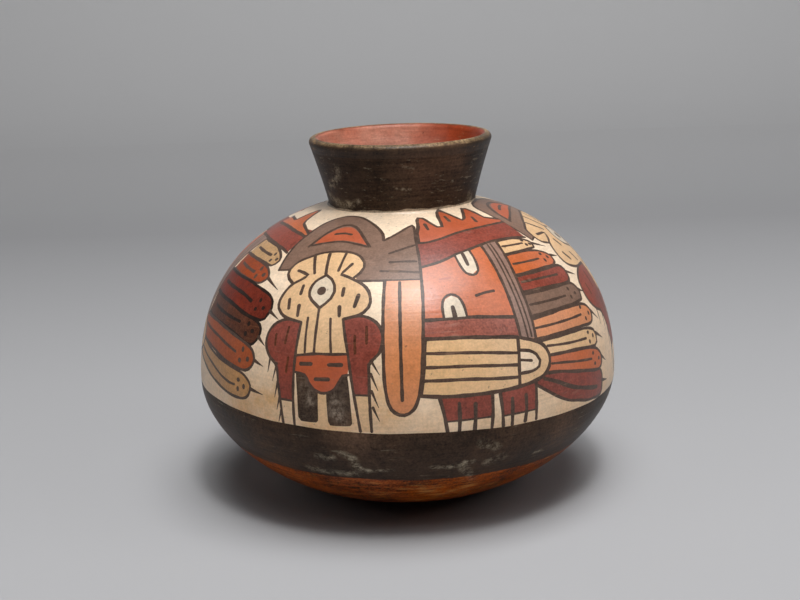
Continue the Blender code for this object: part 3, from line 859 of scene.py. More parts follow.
def painted_triangles(low_edge, high_edge, rise_step):
    """Cuts part of the unrolled wall along all painted edges. Gives points, triangles and their slips."""
    areas = [(slip, ring) for slip, ring in unwrap_split(Brush.painted)
             if max(y for _, y in ring) > low_edge and min(y for _, y in ring) < high_edge]
    verts, edges = [], []

    def add_ring(ring):
        first = len(verts)
        verts.extend(Vector((x * PLANE_SCALE, y)) for x, y in ring)
        edges.extend((first + i, first + (i + 1) % len(ring)) for i in range(len(ring)))

    turns = [-180.0 + GRID_TURN_STEP * step for step in range(ROUND_STEPS + 1)]
    rises = np.linspace(low_edge, high_edge, int((high_edge - low_edge) / rise_step) + 1)
    ring = [(turn, low_edge) for turn in turns] + [(180.0, rise) for rise in rises[1:-1]]
    ring += [(turn, high_edge) for turn in reversed(turns)]
    ring += [(-180.0, rise) for rise in reversed(rises[1:-1])]
    add_ring(ring)
    for rise in rises[1:-1]:
        verts.extend(Vector((turn * PLANE_SCALE, rise)) for turn in turns[1:-1])
    for _, outline in areas:
        add_ring(outline)
    points, _, faces, _, _, _ = delaunay_2d_cdt(verts, edges, [], 0, CUT_REACH)
    flat = np.array([(point.x / PLANE_SCALE, point.y) for point in points])
    triangles = np.array(faces)
    centres = flat[triangles].mean(axis=1)
    kept = (np.abs(centres[:, 0]) < 180.0) & (centres[:, 1] > low_edge) & (centres[:, 1] < high_edge)
    triangles, centres = triangles[kept], centres[kept]
    slips = np.zeros(len(triangles), int)
    for slip, outline in areas:
        corners = np.array(outline)
        low, high = corners.min(axis=0), corners.max(axis=0)
        near = np.nonzero(((centres >= low) & (centres <= high)).all(axis=1))[0]
        if len(near):
            slips[near[inside_area(outline, centres[near])]] = PAINT_NAMES.index(slip)
    return flat, triangles, slips


def ring_points(section, steps):
    """Points of a half-section turned right round, and the quads between them."""
    turns = [math.tau * step / steps for step in range(steps)]
    points = [(r * math.sin(turn), -r * math.cos(turn), z) for r, z in section for turn in turns]
    quads = []
    for row in range(len(section) - 1):
        low, high = row * steps, (row + 1) * steps
        for step in range(steps):
            after = (step + 1) % steps
            quads.append((low + step, low + after, high + after, high + step))
    return points, quads


def run_normals(section):
    """Outward directions at the ring points of a run."""
    radii, heights = np.array(section).T
    order = 2 if len(section) > 2 else 1
    run_radius = np.gradient(radii, edge_order=order)
    run_height = np.gradient(heights, edge_order=order)
    size = np.hypot(run_radius, run_height)
    found = []
    for out, up in zip(run_height / size, -run_radius / size):
        for step in range(ROUND_STEPS):
            turn = math.tau * step / ROUND_STEPS
            found.append((out * math.sin(turn), -out * math.cos(turn), up))
    return found


def keep_piece(name, mesh):
    """A finished piece: an object at the origin with its place in its mesh."""
    piece = bpy.data.objects.new(name, mesh)
    bpy.context.scene.collection.objects.link(piece)
    return piece


def welded_mesh(name, points, faces, normals):
    """A smooth mesh in metres. Points that share a place are joined, and each corner keeps its own normal."""
    joined = {}
    places = []
    for point in points:
        rounded = tuple(round(value, WELD_DIGITS) for value in point)
        places.append(joined.setdefault(rounded, len(joined)))
    mesh = bpy.data.meshes.new(name)
    mesh.from_pydata([(x * MM, y * MM, z * MM) for x, y, z in joined], [],
                     [[places[corner] for corner in face] for face in faces])
    mesh.polygons.foreach_set("use_smooth", [True] * len(mesh.polygons))
    mesh.normals_split_custom_set([normals[corner] for face in faces for corner in face])
    return mesh


# Shares of the flat map that the painting is kept on
MAP_EDGE = 0.01
STRIP_SHARE = 0.415
STRIP_GAP = 0.008
PLAIN_SHARE = 0.08
BED_SHARE = 0.01


def map_painting(mesh, turns, rises, plain_runs):
    """A flat map of a painted piece: a strip for its front half, one for its back half, then plain clay."""
    front = np.cos(np.radians(turns)).mean(axis=1, keepdims=True) > 0
    across = np.where(front, turns + 90.0, np.where(turns < 0, turns + 270.0, turns - 90.0)) / 180.0
    upward = (rises - rises.min()) / (rises.max() - rises.min())
    base = np.where(front, STRIP_GAP, STRIP_SHARE + 2 * STRIP_GAP)
    painted_u = MAP_EDGE + across * (1 - 2 * MAP_EDGE)
    painted_v = base + upward * STRIP_SHARE
    places = [np.stack([painted_u, painted_v], axis=2).reshape(-1, 2)]
    low = 2 * STRIP_SHARE + 3 * STRIP_GAP
    for run in plain_runs:
        rows = len(run) - 1
        share = PLAIN_SHARE if rows > 1 else BED_SHARE
        step = np.tile(np.arange(ROUND_STEPS), rows)
        row = np.repeat(np.arange(rows), ROUND_STEPS)
        u = np.stack([step, step + 1, step + 1, step], axis=1) / ROUND_STEPS
        v = low + np.stack([row, row, row + 1, row + 1], axis=1) / rows * share
        places.append(np.stack([u, v], axis=2).reshape(-1, 2))
        low += share + STRIP_GAP / 2
    layer = mesh.uv_layers.new(name="OFBake", do_init=False)
    layer.uv.foreach_set("vector", np.concatenate(places).astype(np.float32).ravel())


def snap_to_grid(flat, low_edge, high_edge):
    """Moves points that all but lie on the grid's upright lines or on the two edges right onto them."""
    nearest = np.round(flat[:, 0] / GRID_TURN_STEP) * GRID_TURN_STEP
    flat[:, 0] = np.where(np.abs(flat[:, 0] - nearest) < SNAP_REACH, nearest, flat[:, 0])
    for edge in (low_edge, high_edge):
        flat[:, 1] = np.where(np.abs(flat[:, 1] - edge) < SNAP_REACH, edge, flat[:, 1])


def make_painted_piece(name, low_edge, high_edge, rise_step, plain_runs, materials):
    """A piece whose outer face is cut along the painting. The runs close it behind with plain clay."""
    flat, triangles, slips = painted_triangles(low_edge, high_edge, rise_step)
    used, renamed = np.unique(triangles, return_inverse=True)
    flat = flat[used]
    triangles = renamed.reshape(-1, 3)
    snap_to_grid(flat, low_edge, high_edge)
    flat[:, 0] = np.where(flat[:, 0] == 180.0, -180.0, flat[:, 0])
    _, first, renamed = np.unique(np.round(flat, JOIN_DIGITS), axis=0, return_index=True, return_inverse=True)
    flat = flat[first]
    triangles = renamed.reshape(-1)[triangles]
    whole = np.array([len(set(face)) == 3 for face in triangles.tolist()])
    turn = np.radians(flat[:, 0])
    radius = PAINTED.radius_at(flat[:, 1])
    outer = np.stack([radius * np.sin(turn), -radius * np.cos(turn), PAINTED.height_at(flat[:, 1])], axis=1)
    out_radius, out_height = PAINTED.normal_at(flat[:, 1])
    outward = np.stack([out_radius * np.sin(turn), -out_radius * np.cos(turn), out_height], axis=1)
    points = outer.tolist()
    faces = triangles[whole].tolist()
    slots = slips[whole].tolist()
    normals = outward.tolist()
    for run in plain_runs:
        start = len(points)
        ring, quads = ring_points(run, ROUND_STEPS)
        points += ring
        faces += [tuple(start + corner for corner in quad) for quad in quads]
        slots += [len(PAINT_NAMES)] * len(quads)
        normals += run_normals(run)
    mesh = welded_mesh(name, points, faces, normals)
    for material in materials:
        mesh.materials.append(material)
    mesh.polygons.foreach_set("material_index", slots)
    painted = flat[triangles[whole]]
    map_painting(mesh, painted[:, :, 0], painted[:, :, 1], plain_runs)
    return keep_piece(name, mesh)


def link(tree, source, target):
    tree.links.new(source, target)


RAIL_RADIUS = 1.0
JOIN_REACH = 0.001
INNER_SHARE = 0.25
SHARP_TURN = math.radians(40.0)


def turning_tree():
    """Geometry Nodes that turn a half-section round the jar's axis and give its two faces their slips."""
    tree = bpy.data.node_groups.new("turned_clay", "GeometryNodeTree")
    for name, kind in (("Half-section", "NodeSocketGeometry"), ("Steps", "NodeSocketInt"),
                       ("Outer Slip", "NodeSocketMaterial"), ("Inner Slip", "NodeSocketMaterial")):
        tree.interface.new_socket(name, in_out="INPUT", socket_type=kind)
    tree.interface.new_socket("Turned Clay", in_out="OUTPUT", socket_type="NodeSocketGeometry")
    given = tree.nodes.new("NodeGroupInput").outputs
    rail = tree.nodes.new("GeometryNodeCurvePrimitiveCircle")
    rail.inputs["Radius"].default_value = RAIL_RADIUS * MM
    link(tree, given["Steps"], rail.inputs["Resolution"])
    section = tree.nodes.new("GeometryNodeMeshToCurve")
    link(tree, given["Half-section"], section.inputs["Mesh"])
    turned = tree.nodes.new("GeometryNodeCurveToMesh")
    link(tree, rail.outputs["Curve"], turned.inputs["Curve"])
    link(tree, section.outputs["Curve"], turned.inputs["Profile Curve"])
    outward = tree.nodes.new("GeometryNodeFlipFaces")
    link(tree, turned.outputs["Mesh"], outward.inputs["Mesh"])
    joined = tree.nodes.new("GeometryNodeMergeByDistance")
    joined.inputs["Distance"].default_value = JOIN_REACH * MM
    link(tree, outward.outputs["Mesh"], joined.inputs["Geometry"])
    smooth = tree.nodes.new("GeometryNodeSetShadeSmooth")
    link(tree, joined.outputs["Geometry"], smooth.inputs["Geometry"])
    realized = tree.nodes.new("GeometryNodeRealizeInstances")
    link(tree, smooth.outputs["Geometry"], realized.inputs["Geometry"])
    outer = tree.nodes.new("GeometryNodeSetMaterial")
    link(tree, realized.outputs["Geometry"], outer.inputs["Geometry"])
    link(tree, given["Outer Slip"], outer.inputs["Material"])
    inside = tree.nodes.new("GeometryNodeInputNamedAttribute")
    inside.inputs["Name"].default_value = "inside"
    chosen = tree.nodes.new("FunctionNodeCompare")
    chosen.operation = "GREATER_THAN"
    link(tree, inside.outputs["Attribute"], chosen.inputs["A"])
    chosen.inputs["B"].default_value = INNER_SHARE
    inner = tree.nodes.new("GeometryNodeSetMaterial")
    link(tree, outer.outputs["Geometry"], inner.inputs["Geometry"])
    link(tree, chosen.outputs["Result"], inner.inputs["Selection"])
    link(tree, given["Inner Slip"], inner.inputs["Material"])
    result = tree.nodes.new("NodeGroupOutput").inputs
    link(tree, inner.outputs["Geometry"], result["Turned Clay"])
    return tree


TURNED_CLAY = turning_tree()


def make_turned(name, outer_run, inner_run, outer_slip, inner_slip):
    """A closed piece turned from its outer face and its inner face, which are points of the half-section."""
    section = outer_run + inner_run
    count = len(section)
    edges = [(index, (index + 1) % count) for index in range(count)]
    if section[0][0] == section[-1][0] == 0.0:
        edges.pop()
    mesh = bpy.data.meshes.new(name + "_section")
    mesh.from_pydata([((r - RAIL_RADIUS) * MM, -z * MM, 0.0) for r, z in section], edges, [])
    inside = mesh.attributes.new("inside", "FLOAT", "POINT")
    inside.data.foreach_set("value", [0.0] * len(outer_run) + [1.0] * len(inner_run))
    blank = keep_piece(name + "_section", mesh)
    turning = blank.modifiers.new("turning", "NODES")
    turning.node_group = TURNED_CLAY
    wanted = {"Steps": ROUND_STEPS, "Outer Slip": outer_slip, "Inner Slip": inner_slip}
    for socket in TURNED_CLAY.interface.items_tree:
        if socket.name in wanted:
            turning[socket.identifier] = wanted[socket.name]
    evaluated = blank.evaluated_get(bpy.context.evaluated_depsgraph_get())
    finished = bpy.data.meshes.new_from_object(evaluated)
    bpy.data.objects.remove(blank)
    finished.name = name
    finished.attributes.remove(finished.attributes["inside"])
    finished.set_sharp_from_angle(angle=SHARP_TURN)
    return keep_piece(name, finished)


# Materials
def give(tree, socket, value):
    """Sets an input to a value, or links it when the value comes from another node."""
    if isinstance(value, bpy.types.NodeSocket):
        link(tree, value, socket)
    else:
        socket.default_value = value


def place_on_jar(tree):
    return tree.nodes.new("ShaderNodeTexCoord").outputs["Object"]


def part_of(tree, vector, axis):
    """One of the three numbers of a place: 0, 1 or 2 for X, Y or Z."""
    split = tree.nodes.new("ShaderNodeSeparateXYZ")
    give(tree, split.inputs[0], vector)
    return split.outputs[axis]


def vectors(tree, operation, first, second):
    """A vector calculation. A distance or a dot product gives a number, the others a vector."""
    made = tree.nodes.new("ShaderNodeVectorMath")
    made.operation = operation
    give(tree, made.inputs[0], first)
    give(tree, made.inputs[1], second)
    return made.outputs["Value" if operation in ("DISTANCE", "DOT_PRODUCT") else "Vector"]


def calculate(tree, operation, first, second=0.0):
    made = tree.nodes.new("ShaderNodeMath")
    made.operation = operation
    give(tree, made.inputs[0], first)
    give(tree, made.inputs[1], second)
    return made.outputs[0]


def plus(tree, first, second):
    return calculate(tree, "ADD", first, second)


def times(tree, first, second):
    return calculate(tree, "MULTIPLY", first, second)


def blend_colour(tree, share, first, second):
    mixed = tree.nodes.new("ShaderNodeMix")
    mixed.data_type = "RGBA"
    give(tree, mixed.inputs[0], share)
    give(tree, mixed.inputs[6], first)
    give(tree, mixed.inputs[7], second)
    return mixed.outputs[2]


def spread(tree, value, low, high, to_low=0.0, to_high=1.0):
    """Maps a range of values to another one and stops at its ends."""
    made = tree.nodes.new("ShaderNodeMapRange")
    for socket, given in zip(made.inputs, (value, low, high, to_low, to_high)):
        give(tree, socket, given)
    return made.outputs[0]


def noise(tree, place, scale, detail=3.0, roughness=0.55):
    made = tree.nodes.new("ShaderNodeTexNoise")
    give(tree, made.inputs["Vector"], place)
    made.inputs["Scale"].default_value = scale
    made.inputs["Detail"].default_value = detail
    made.inputs["Roughness"].default_value = roughness
    return made.outputs[0]


def swing(tree, cloud):
    """Noise as a swing to both sides of zero."""
    return spread(tree, cloud, 0.3, 0.7, -1.0, 1.0)


def specks(tree, place, scale, size, rarity):
    """Small spots: 1 inside a spot, 0 elsewhere. Only the cells above a rarity from 0 to 1 have one."""
    cells = tree.nodes.new("ShaderNodeTexVoronoi")
    give(tree, cells.inputs["Vector"], place)
    cells.inputs["Scale"].default_value = scale
    spot = spread(tree, cells.outputs["Distance"], size, size * 1.5, 1.0, 0.0)
    chosen = calculate(tree, "GREATER_THAN", part_of(tree, cells.outputs["Color"], 0), rarity)
    return times(tree, spot, chosen)


def level_place(tree, place, round_scale, rise_scale):
    """Coordinates that run round the jar and up it, stretched so that noise on them makes level streaks."""
    turn = calculate(tree, "ARCTAN2", part_of(tree, place, 0), times(tree, part_of(tree, place, 1), -1.0))
    joined = tree.nodes.new("ShaderNodeCombineXYZ")
    give(tree, joined.inputs[0], times(tree, turn, round_scale))
    give(tree, joined.inputs[1], times(tree, part_of(tree, place, 2), rise_scale))
    return joined.outputs[0]


def effect_group(name, inputs, outputs):
    """An empty group for an effect that materials share. Gives it, its inputs and its outputs."""
    group = bpy.data.node_groups.new(name, "ShaderNodeTree")
    for direction, sockets in (("INPUT", inputs), ("OUTPUT", outputs)):
        for socket_name, kind in sockets.items():
            group.interface.new_socket(socket_name, in_out=direction, socket_type="NodeSocket" + kind)
    given = group.nodes.new("NodeGroupInput").outputs
    result = group.nodes.new("NodeGroupOutput").inputs
    return group, given, result


def place_effect(tree, group, values):
    """Places a shared effect in a material or in another effect, with its own values."""
    placed = tree.nodes.new("ShaderNodeGroup")
    placed.node_tree = group
    for name, value in values.items():
        give(tree, placed.inputs[name], value)
    return placed.outputs


PIT_BROWN = srgb(74, 52, 40)
PIT_SHIFT = (0.004, 0.003, 0.004)
BUMP_STRENGTH = 0.4
BUMP_DISTANCE = 0.0004


def burnished_slip_group():
    """Mottle, level burnishing streaks, grain, pits, pale specks and wear, shared by all the slips."""
    group, given, result = effect_group(
        "burnished_slip",
        {"Colour": "Color", "Worn Colour": "Color", "Mottle": "Float", "Streaks": "Float", "Wear": "Float",
         "Roughness": "Float"},
        {"Colour": "Color", "Roughness": "Float", "Normal": "Vector"})
    place = place_on_jar(group)

    cloud = noise(group, place, 60.0, 5.0, 0.6)
    fine = noise(group, place, 420.0, 4.0, 0.65)
    grain = noise(group, place, 1300.0, 2.0)
    streak = noise(group, level_place(group, place, 2.6, 900.0), 1.0, 3.0, 0.6)
    scuff = noise(group, level_place(group, place, 7.0, 800.0), 1.0, 5.0, 0.7)

    mottle = times(group, swing(group, cloud), 0.75)
    mottle = plus(group, mottle, times(group, swing(group, fine), 0.85))
    mottle = plus(group, mottle, times(group, swing(group, grain), 1.0))
    mottle = times(group, mottle, given["Mottle"])
    burnish = times(group, swing(group, streak), given["Streaks"])
    brightness = plus(group, plus(group, mottle, burnish), 1.0)
    shaded = group.nodes.new("ShaderNodeHueSaturation")
    give(group, shaded.inputs["Color"], given["Colour"])
    give(group, shaded.inputs["Value"], brightness)
    drift = noise(group, place, 24.0, 3.0)
    give(group, shaded.inputs["Saturation"], spread(group, drift, 0.3, 0.7, 0.92, 1.05))

    uneven = vectors(group, "ADD", vectors(group, "MULTIPLY", fine, PIT_SHIFT), place)
    pits = times(group, specks(group, uneven, 360.0, 0.09, 0.70), 0.5)
    pitted = blend_colour(group, pits, shaded.outputs[0], PIT_BROWN)
    dust = times(group, specks(group, uneven, 310.0, 0.08, 0.88), 0.4)
    dusty = blend_colour(group, dust, pitted, given["Worn Colour"])

    wear_score = plus(group, scuff, times(group, noise(group, place, 45.0, 4.0, 0.6), 0.5))
    wear_edge = plus(group, times(group, given["Wear"], -0.35), 1.0)
    wear = spread(group, calculate(group, "SUBTRACT", wear_score, wear_edge), 0.0, 0.10, 0.0, 0.7)
    worn = blend_colour(group, wear, dusty, given["Worn Colour"])

    rough = plus(group, given["Roughness"], times(group, swing(group, cloud), 0.04))
    rough = plus(group, rough, times(group, swing(group, fine), 0.03))
    rough = plus(group, rough, times(group, wear, 0.2))

    relief = plus(group, times(group, streak, 0.5), times(group, cloud, 0.8))
    relief = plus(group, relief, times(group, fine, 0.35))
    relief = plus(group, relief, times(group, pits, -0.6))
    bump = group.nodes.new("ShaderNodeBump")
    bump.inputs["Strength"].default_value = BUMP_STRENGTH
    bump.inputs["Distance"].default_value = BUMP_DISTANCE
    give(group, bump.inputs["Height"], relief)

    link(group, worn, result["Colour"])
    link(group, rough, result["Roughness"])
    link(group, bump.outputs[0], result["Normal"])
    return group


SLIP_FINISH = burnished_slip_group()


def new_material(name):
    material = bpy.data.materials.new(name)
    material.use_nodes = True
    tree = material.node_tree
    return material, tree, tree.nodes["Principled BSDF"]


def finish_with(tree, shader, colour, worn=WORN_CLAY, mottle=0.1, streaks=0.04, wear=0.2, roughness=0.34,
                shine=0.6):
    """Gives a shader the shared burnished finish in a colour."""
    finish = place_effect(tree, SLIP_FINISH, {
        "Colour": colour, "Worn Colour": worn, "Mottle": mottle, "Streaks": streaks, "Wear": wear,
        "Roughness": roughness})
    link(tree, finish["Colour"], shader.inputs["Base Color"])
    link(tree, finish["Roughness"], shader.inputs["Roughness"])
    link(tree, finish["Normal"], shader.inputs["Normal"])
    shader.inputs["Specular IOR Level"].default_value = shine


def slip_material(name, colour, **finish):
    """A slip coat in one colour."""
    material, tree, shader = new_material(name)
    finish_with(tree, shader, colour, **finish)
    return material


def painted_edge_group():
    """1 above a painted edge at a height that slopes along X, 0 below it, in metres. The edge wavers."""
    group, given, result = effect_group(
        "painted_edge", {"Height": "Float", "Slope": "Float", "Waver": "Float", "Blur": "Float"},
        {"Above": "Float"})
    place = place_on_jar(group)
    edge = plus(group, times(group, part_of(group, place, 0), given["Slope"]), given["Height"])
    over = calculate(group, "SUBTRACT", part_of(group, place, 2), edge)
    uneven = times(group, plus(group, noise(group, place, 130.0, 4.0, 0.6), -0.5), given["Waver"])
    above = spread(group, plus(group, over, uneven), times(group, given["Blur"], -1.0), given["Blur"])
    link(group, above, result["Above"])
    return group


def spot_group():
    """1 at a spot on the jar, running out to 0 at a reach from it."""
    group, given, result = effect_group("spot", {"Middle": "Vector", "Reach": "Float"}, {"Mask": "Float"})
    away = vectors(group, "DISTANCE", place_on_jar(group), given["Middle"])
    link(group, spread(group, away, 0.0, given["Reach"], 1.0, 0.0), result["Mask"])
    return group


def smear_group():
    """1 along a short smear on the jar, running out to 0 at a reach from it."""
    group, given, result = effect_group(
        "smear", {"Start": "Vector", "End": "Vector", "Reach": "Float"}, {"Mask": "Float"})
    run = vectors(group, "SUBTRACT", given["End"], given["Start"])
    from_start = vectors(group, "SUBTRACT", place_on_jar(group), given["Start"])
    along = vectors(group, "DOT_PRODUCT", from_start, run)
    whole = vectors(group, "DOT_PRODUCT", run, run)
    on_run = vectors(group, "MULTIPLY", run, spread(group, along, 0.0, whole))
    away = vectors(group, "DISTANCE", from_start, on_run)
    link(group, spread(group, away, 0.0, given["Reach"], 1.0, 0.0), result["Mask"])
    return group


PAINTED_EDGE = painted_edge_group()
SPOT = spot_group()
SMEAR = smear_group()


def above_edge(tree, height, slope, waver, blur):
    values = {"Height": height, "Slope": slope, "Waver": waver, "Blur": blur}
    return place_effect(tree, PAINTED_EDGE, values)["Above"]


def near_spots(tree, spots):
    """How near a place is to some spots on the jar, which are (X, Y, Z, reach) in mm."""
    total = 0.0
    for *middle, reach in spots:
        spot = place_effect(tree, SPOT, {"Middle": Vector(middle) * MM, "Reach": reach * MM})
        total = plus(tree, spot["Mask"], total)
    return total


def near_smears(tree, smears):
    """How near a place is to some short smears on the jar, which are (start, end, reach) in mm."""
    total = 0.0
    for start, end, reach in smears:
        values = {"Start": Vector(start) * MM, "End": Vector(end) * MM, "Reach": reach * MM}
        total = plus(tree, place_effect(tree, SMEAR, values)["Mask"], total)
    return total


# Marks of wear, as places on the jar in millimetres with how far each reaches
TAN_SPOTS = ((-61.8, -54.6, 46.7, 20.0), (-48.6, -66.3, 54.6, 12.0), (-31.9, -76.0, 47.9, 9.0),
             (-22.2, -79.4, 48.7, 8.0), (-9.6, -81.2, 58.1, 14.0), (60.0, 60.0, 50.0, 30.0))
BAND_SMEARS = (
    ((-32.7, -72.3, 35.0), (-27.6, -74.3, 34.9), 2.2), ((-24.2, -76.8, 37.7), (-20.4, -76.9, 35.6), 2.2),
    ((-20.4, -76.9, 35.6), (-18.9, -74.8, 31.2), 2.6), ((-18.9, -74.8, 31.2), (-15.4, -74.6, 29.7), 2.2),
    ((-36.3, -65.8, 28.2), (-19.1, -72.3, 27.8), 2.4), ((-15.4, -74.6, 29.7), (-6.1, -76.4, 30.4), 1.2),
    ((7.8, -76.8, 31.2), (14.2, -75.4, 30.5), 1.4), ((14.2, -75.4, 30.5), (19.6, -75.1, 31.9), 1.8),
    ((19.6, -75.1, 31.9), (22.5, -74.3, 31.9), 1.6), ((18.5, -74.7, 30.8), (20.4, -70.7, 26.3), 2.8),
    ((20.4, -70.7, 26.3), (22.3, -66.4, 22.3), 2.4), ((27.9, -71.4, 30.5), (33.1, -70.1, 31.7), 2.8),
    ((25.7, -77.1, 39.7), (31.1, -73.9, 36.9), 2.6), ((44.9, -61.6, 29.8), (48.0, -59.5, 30.1), 1.0),
    ((30.0, 72.0, 32.0), (40.0, 66.5, 30.0), 3.0), ((-70.0, 25.0, 34.0), (-66.0, 38.0, 30.0), 2.8))
NECK_SMEARS = (
    ((-23.9, -22.6, 130.2), (-24.7, -19.8, 126.0), 3.0), ((-24.7, -19.8, 126.0), (-27.0, -14.7, 123.0), 2.4),
    ((-27.8, -10.8, 119.2), (-25.2, -14.8, 117.1), 2.4), ((-25.2, -14.8, 117.1), (-20.0, -21.1, 116.5), 2.6),
    ((-20.0, -21.1, 116.5), (-16.1, -24.8, 118.5), 1.6), ((0.5, -33.2, 132.4), (4.8, -32.9, 131.3), 0.8),
    ((-1.9, -30.8, 123.6), (3.2, -30.7, 123.2), 0.8), ((25.0, -14.5, 117.5), (27.0, -11.0, 116.0), 2.6),
    ((12.0, 30.0, 130.0), (16.0, 27.5, 127.0), 3.0))
THIN_SPOTS = (
    (-11.3, -80.8, 40.7, 16.0), (-22.5, -79.1, 43.9, 10.0), (35.8, -73.1, 40.2, 16.0),
    (55.1, -58.4, 37.2, 12.0), (40.0, 68.0, 38.0, 16.0), (-60.0, 52.0, 36.0, 14.0),
    (5.2, -32.6, 130.7, 13.0), (20.2, -27.6, 134.3, 11.0), (-10.0, 31.0, 128.0, 13.0))
LEG_SMEARS = (
    ((-24.8, -78.3, 55.1), (-26.5, -77.4, 58.1), 4.2), ((-35.7, -73.2, 60.4), (-34.4, -74.4, 56.0), 3.6),
    ((-25.6, -78.2, 52.1), (-23.0, -79.0, 50.5), 3.0))


def stained_cream():
    """The cream ground, stained tan in drifts towards the girth."""
    material, tree, shader = new_material("slip_cream")
    place = place_on_jar(tree)
    low = spread(tree, part_of(tree, place, 2), 0.045, 0.080, 1.0, 0.0)
    drift = spread(tree, noise(tree, place, 70.0, 5.0, 0.65), 0.28, 0.66)
    amount = plus(tree, times(tree, low, 0.25), times(tree, near_spots(tree, TAN_SPOTS), 0.85))
    stain = plus(tree, times(tree, plus(tree, amount, 0.14), drift), times(tree, low, 0.28))
    colour = blend_colour(tree, stain, SLIPS["cream"], TAN_STAIN)
    finish_with(tree, shader, colour, mottle=0.09, streaks=0.06)
    return material


def mineral_film_group():
    """How much of a dark slip a pale film from the ground hides, in soft uneven smears."""
    group, given, result = effect_group("mineral_film", {"Smears": "Float"}, {"Film": "Float"})
    smudge = spread(group, noise(group, place_on_jar(group), 420.0, 7.0, 0.75), 0.42, 0.60)
    link(group, times(group, times(group, given["Smears"], smudge), 0.9), result["Film"])
    return group


def thin_slip_group():
    """A dark slip that is thin in places, where it shows a lighter brown."""
    group, given, result = effect_group(
        "thin_slip", {"Colour": "Color", "Thin Colour": "Color"}, {"Colour": "Color"})
    thin = spread(group, noise(group, place_on_jar(group), 32.0, 6.0, 0.6), 0.42, 0.66, 0.0, 0.4)
    thin = plus(group, thin, times(group, near_spots(group, THIN_SPOTS), 0.75))
    link(group, blend_colour(group, thin, given["Colour"], given["Thin Colour"]), result["Colour"])
    return group


def rubbed_red_group():
    """The red slip inside the neck, rubbed pinkish towards the left."""
    group, given, result = effect_group(
        "rubbed_red", {"Colour": "Color", "Rubbed Colour": "Color"}, {"Colour": "Color"})
    place = place_on_jar(group)
    left = spread(group, part_of(group, place, 0), 0.020, 0.002, 0.0, 1.0)
    drift = spread(group, noise(group, place, 90.0, 5.0, 0.65), 0.3, 0.7, 0.4, 1.0)
    rubbed = blend_colour(group, times(group, left, drift), given["Colour"], given["Rubbed Colour"])
    link(group, rubbed, result["Colour"])
    return group


MINERAL_FILM = mineral_film_group()
THIN_SLIP = thin_slip_group()
RUBBED_RED = rubbed_red_group()


def mineral_film(tree, smears):
    return place_effect(tree, MINERAL_FILM, {"Smears": near_smears(tree, smears)})["Film"]


def thin_in_places(tree, colour):
    return place_effect(tree, THIN_SLIP, {"Colour": colour, "Thin Colour": THIN_BROWN})["Colour"]


def rubbed_red(tree):
    return place_effect(tree, RUBBED_RED, {"Colour": NECK_RED, "Rubbed Colour": RUBBED_PINK})["Colour"]


def scuffed_slip(name, colour, film, smears, streaks):
    """A dark slip with some pale smears and fine level scratches all over."""
    material, tree, shader = new_material(name)
    filmed = blend_colour(tree, mineral_film(tree, smears), thin_in_places(tree, colour), film)
    finish_with(tree, shader, filmed, film, mottle=0.34, streaks=streaks, wear=0.38, roughness=0.42,
                shine=0.13)
    return material


def either(tree, share, off, on):
    """A value that goes from one to another with a share from 0 to 1."""
    return spread(tree, share, 0.0, 1.0, off, on)


BAND_EDGE_WAVER = 0.0016
BAND_EDGE_BLUR = 0.0002


def belt_of_two_slips():
    """The dark band over the ochre base, with one painted edge between them."""
    material, tree, shader = new_material("slip_band_and_base")
    edge_radius = float(OUTSIDE.radius_at(BAND_FOOT))
    edge_height = float(OUTSIDE.height_at(BAND_FOOT))
    rise = float(OUTSIDE.height_at(BAND_FOOT + 0.5) - OUTSIDE.height_at(BAND_FOOT - 0.5))
    slope = BAND_FOOT_TILT * rise / edge_radius
    dark = above_edge(tree, edge_height * MM, slope, BAND_EDGE_WAVER, BAND_EDGE_BLUR)
    film = times(tree, mineral_film(tree, BAND_SMEARS), either(tree, dark, 0.3, 1.0))
    slips = blend_colour(tree, dark, OCHRE, thin_in_places(tree, BAND_BROWN))
    colour = blend_colour(tree, film, slips, BAND_FILM)
    worn = blend_colour(tree, dark, WORN_OCHRE, BAND_FILM)
    finish_with(tree, shader, colour, worn, mottle=either(tree, dark, 0.62, 0.34),
                streaks=either(tree, dark, 0.5, 0.2), wear=either(tree, dark, 0.54, 0.36),
                roughness=0.44, shine=0.12)
    return material


# Where the lip's wear starts below the rim, how far in from the mouth its slips change, and where its painted
# shade of darker red lies
CROWN_WEAR_DEPTH = 0.9
CROWN_WEAR_WAVER = 0.0022
CROWN_WEAR_BLUR = 0.0005
DARK_SIDE_INSETS = (3.4, 3.2)
CROWN_SHADE_RED_INSETS = (4.1, 3.6)
LIP_WAVER = 0.0012


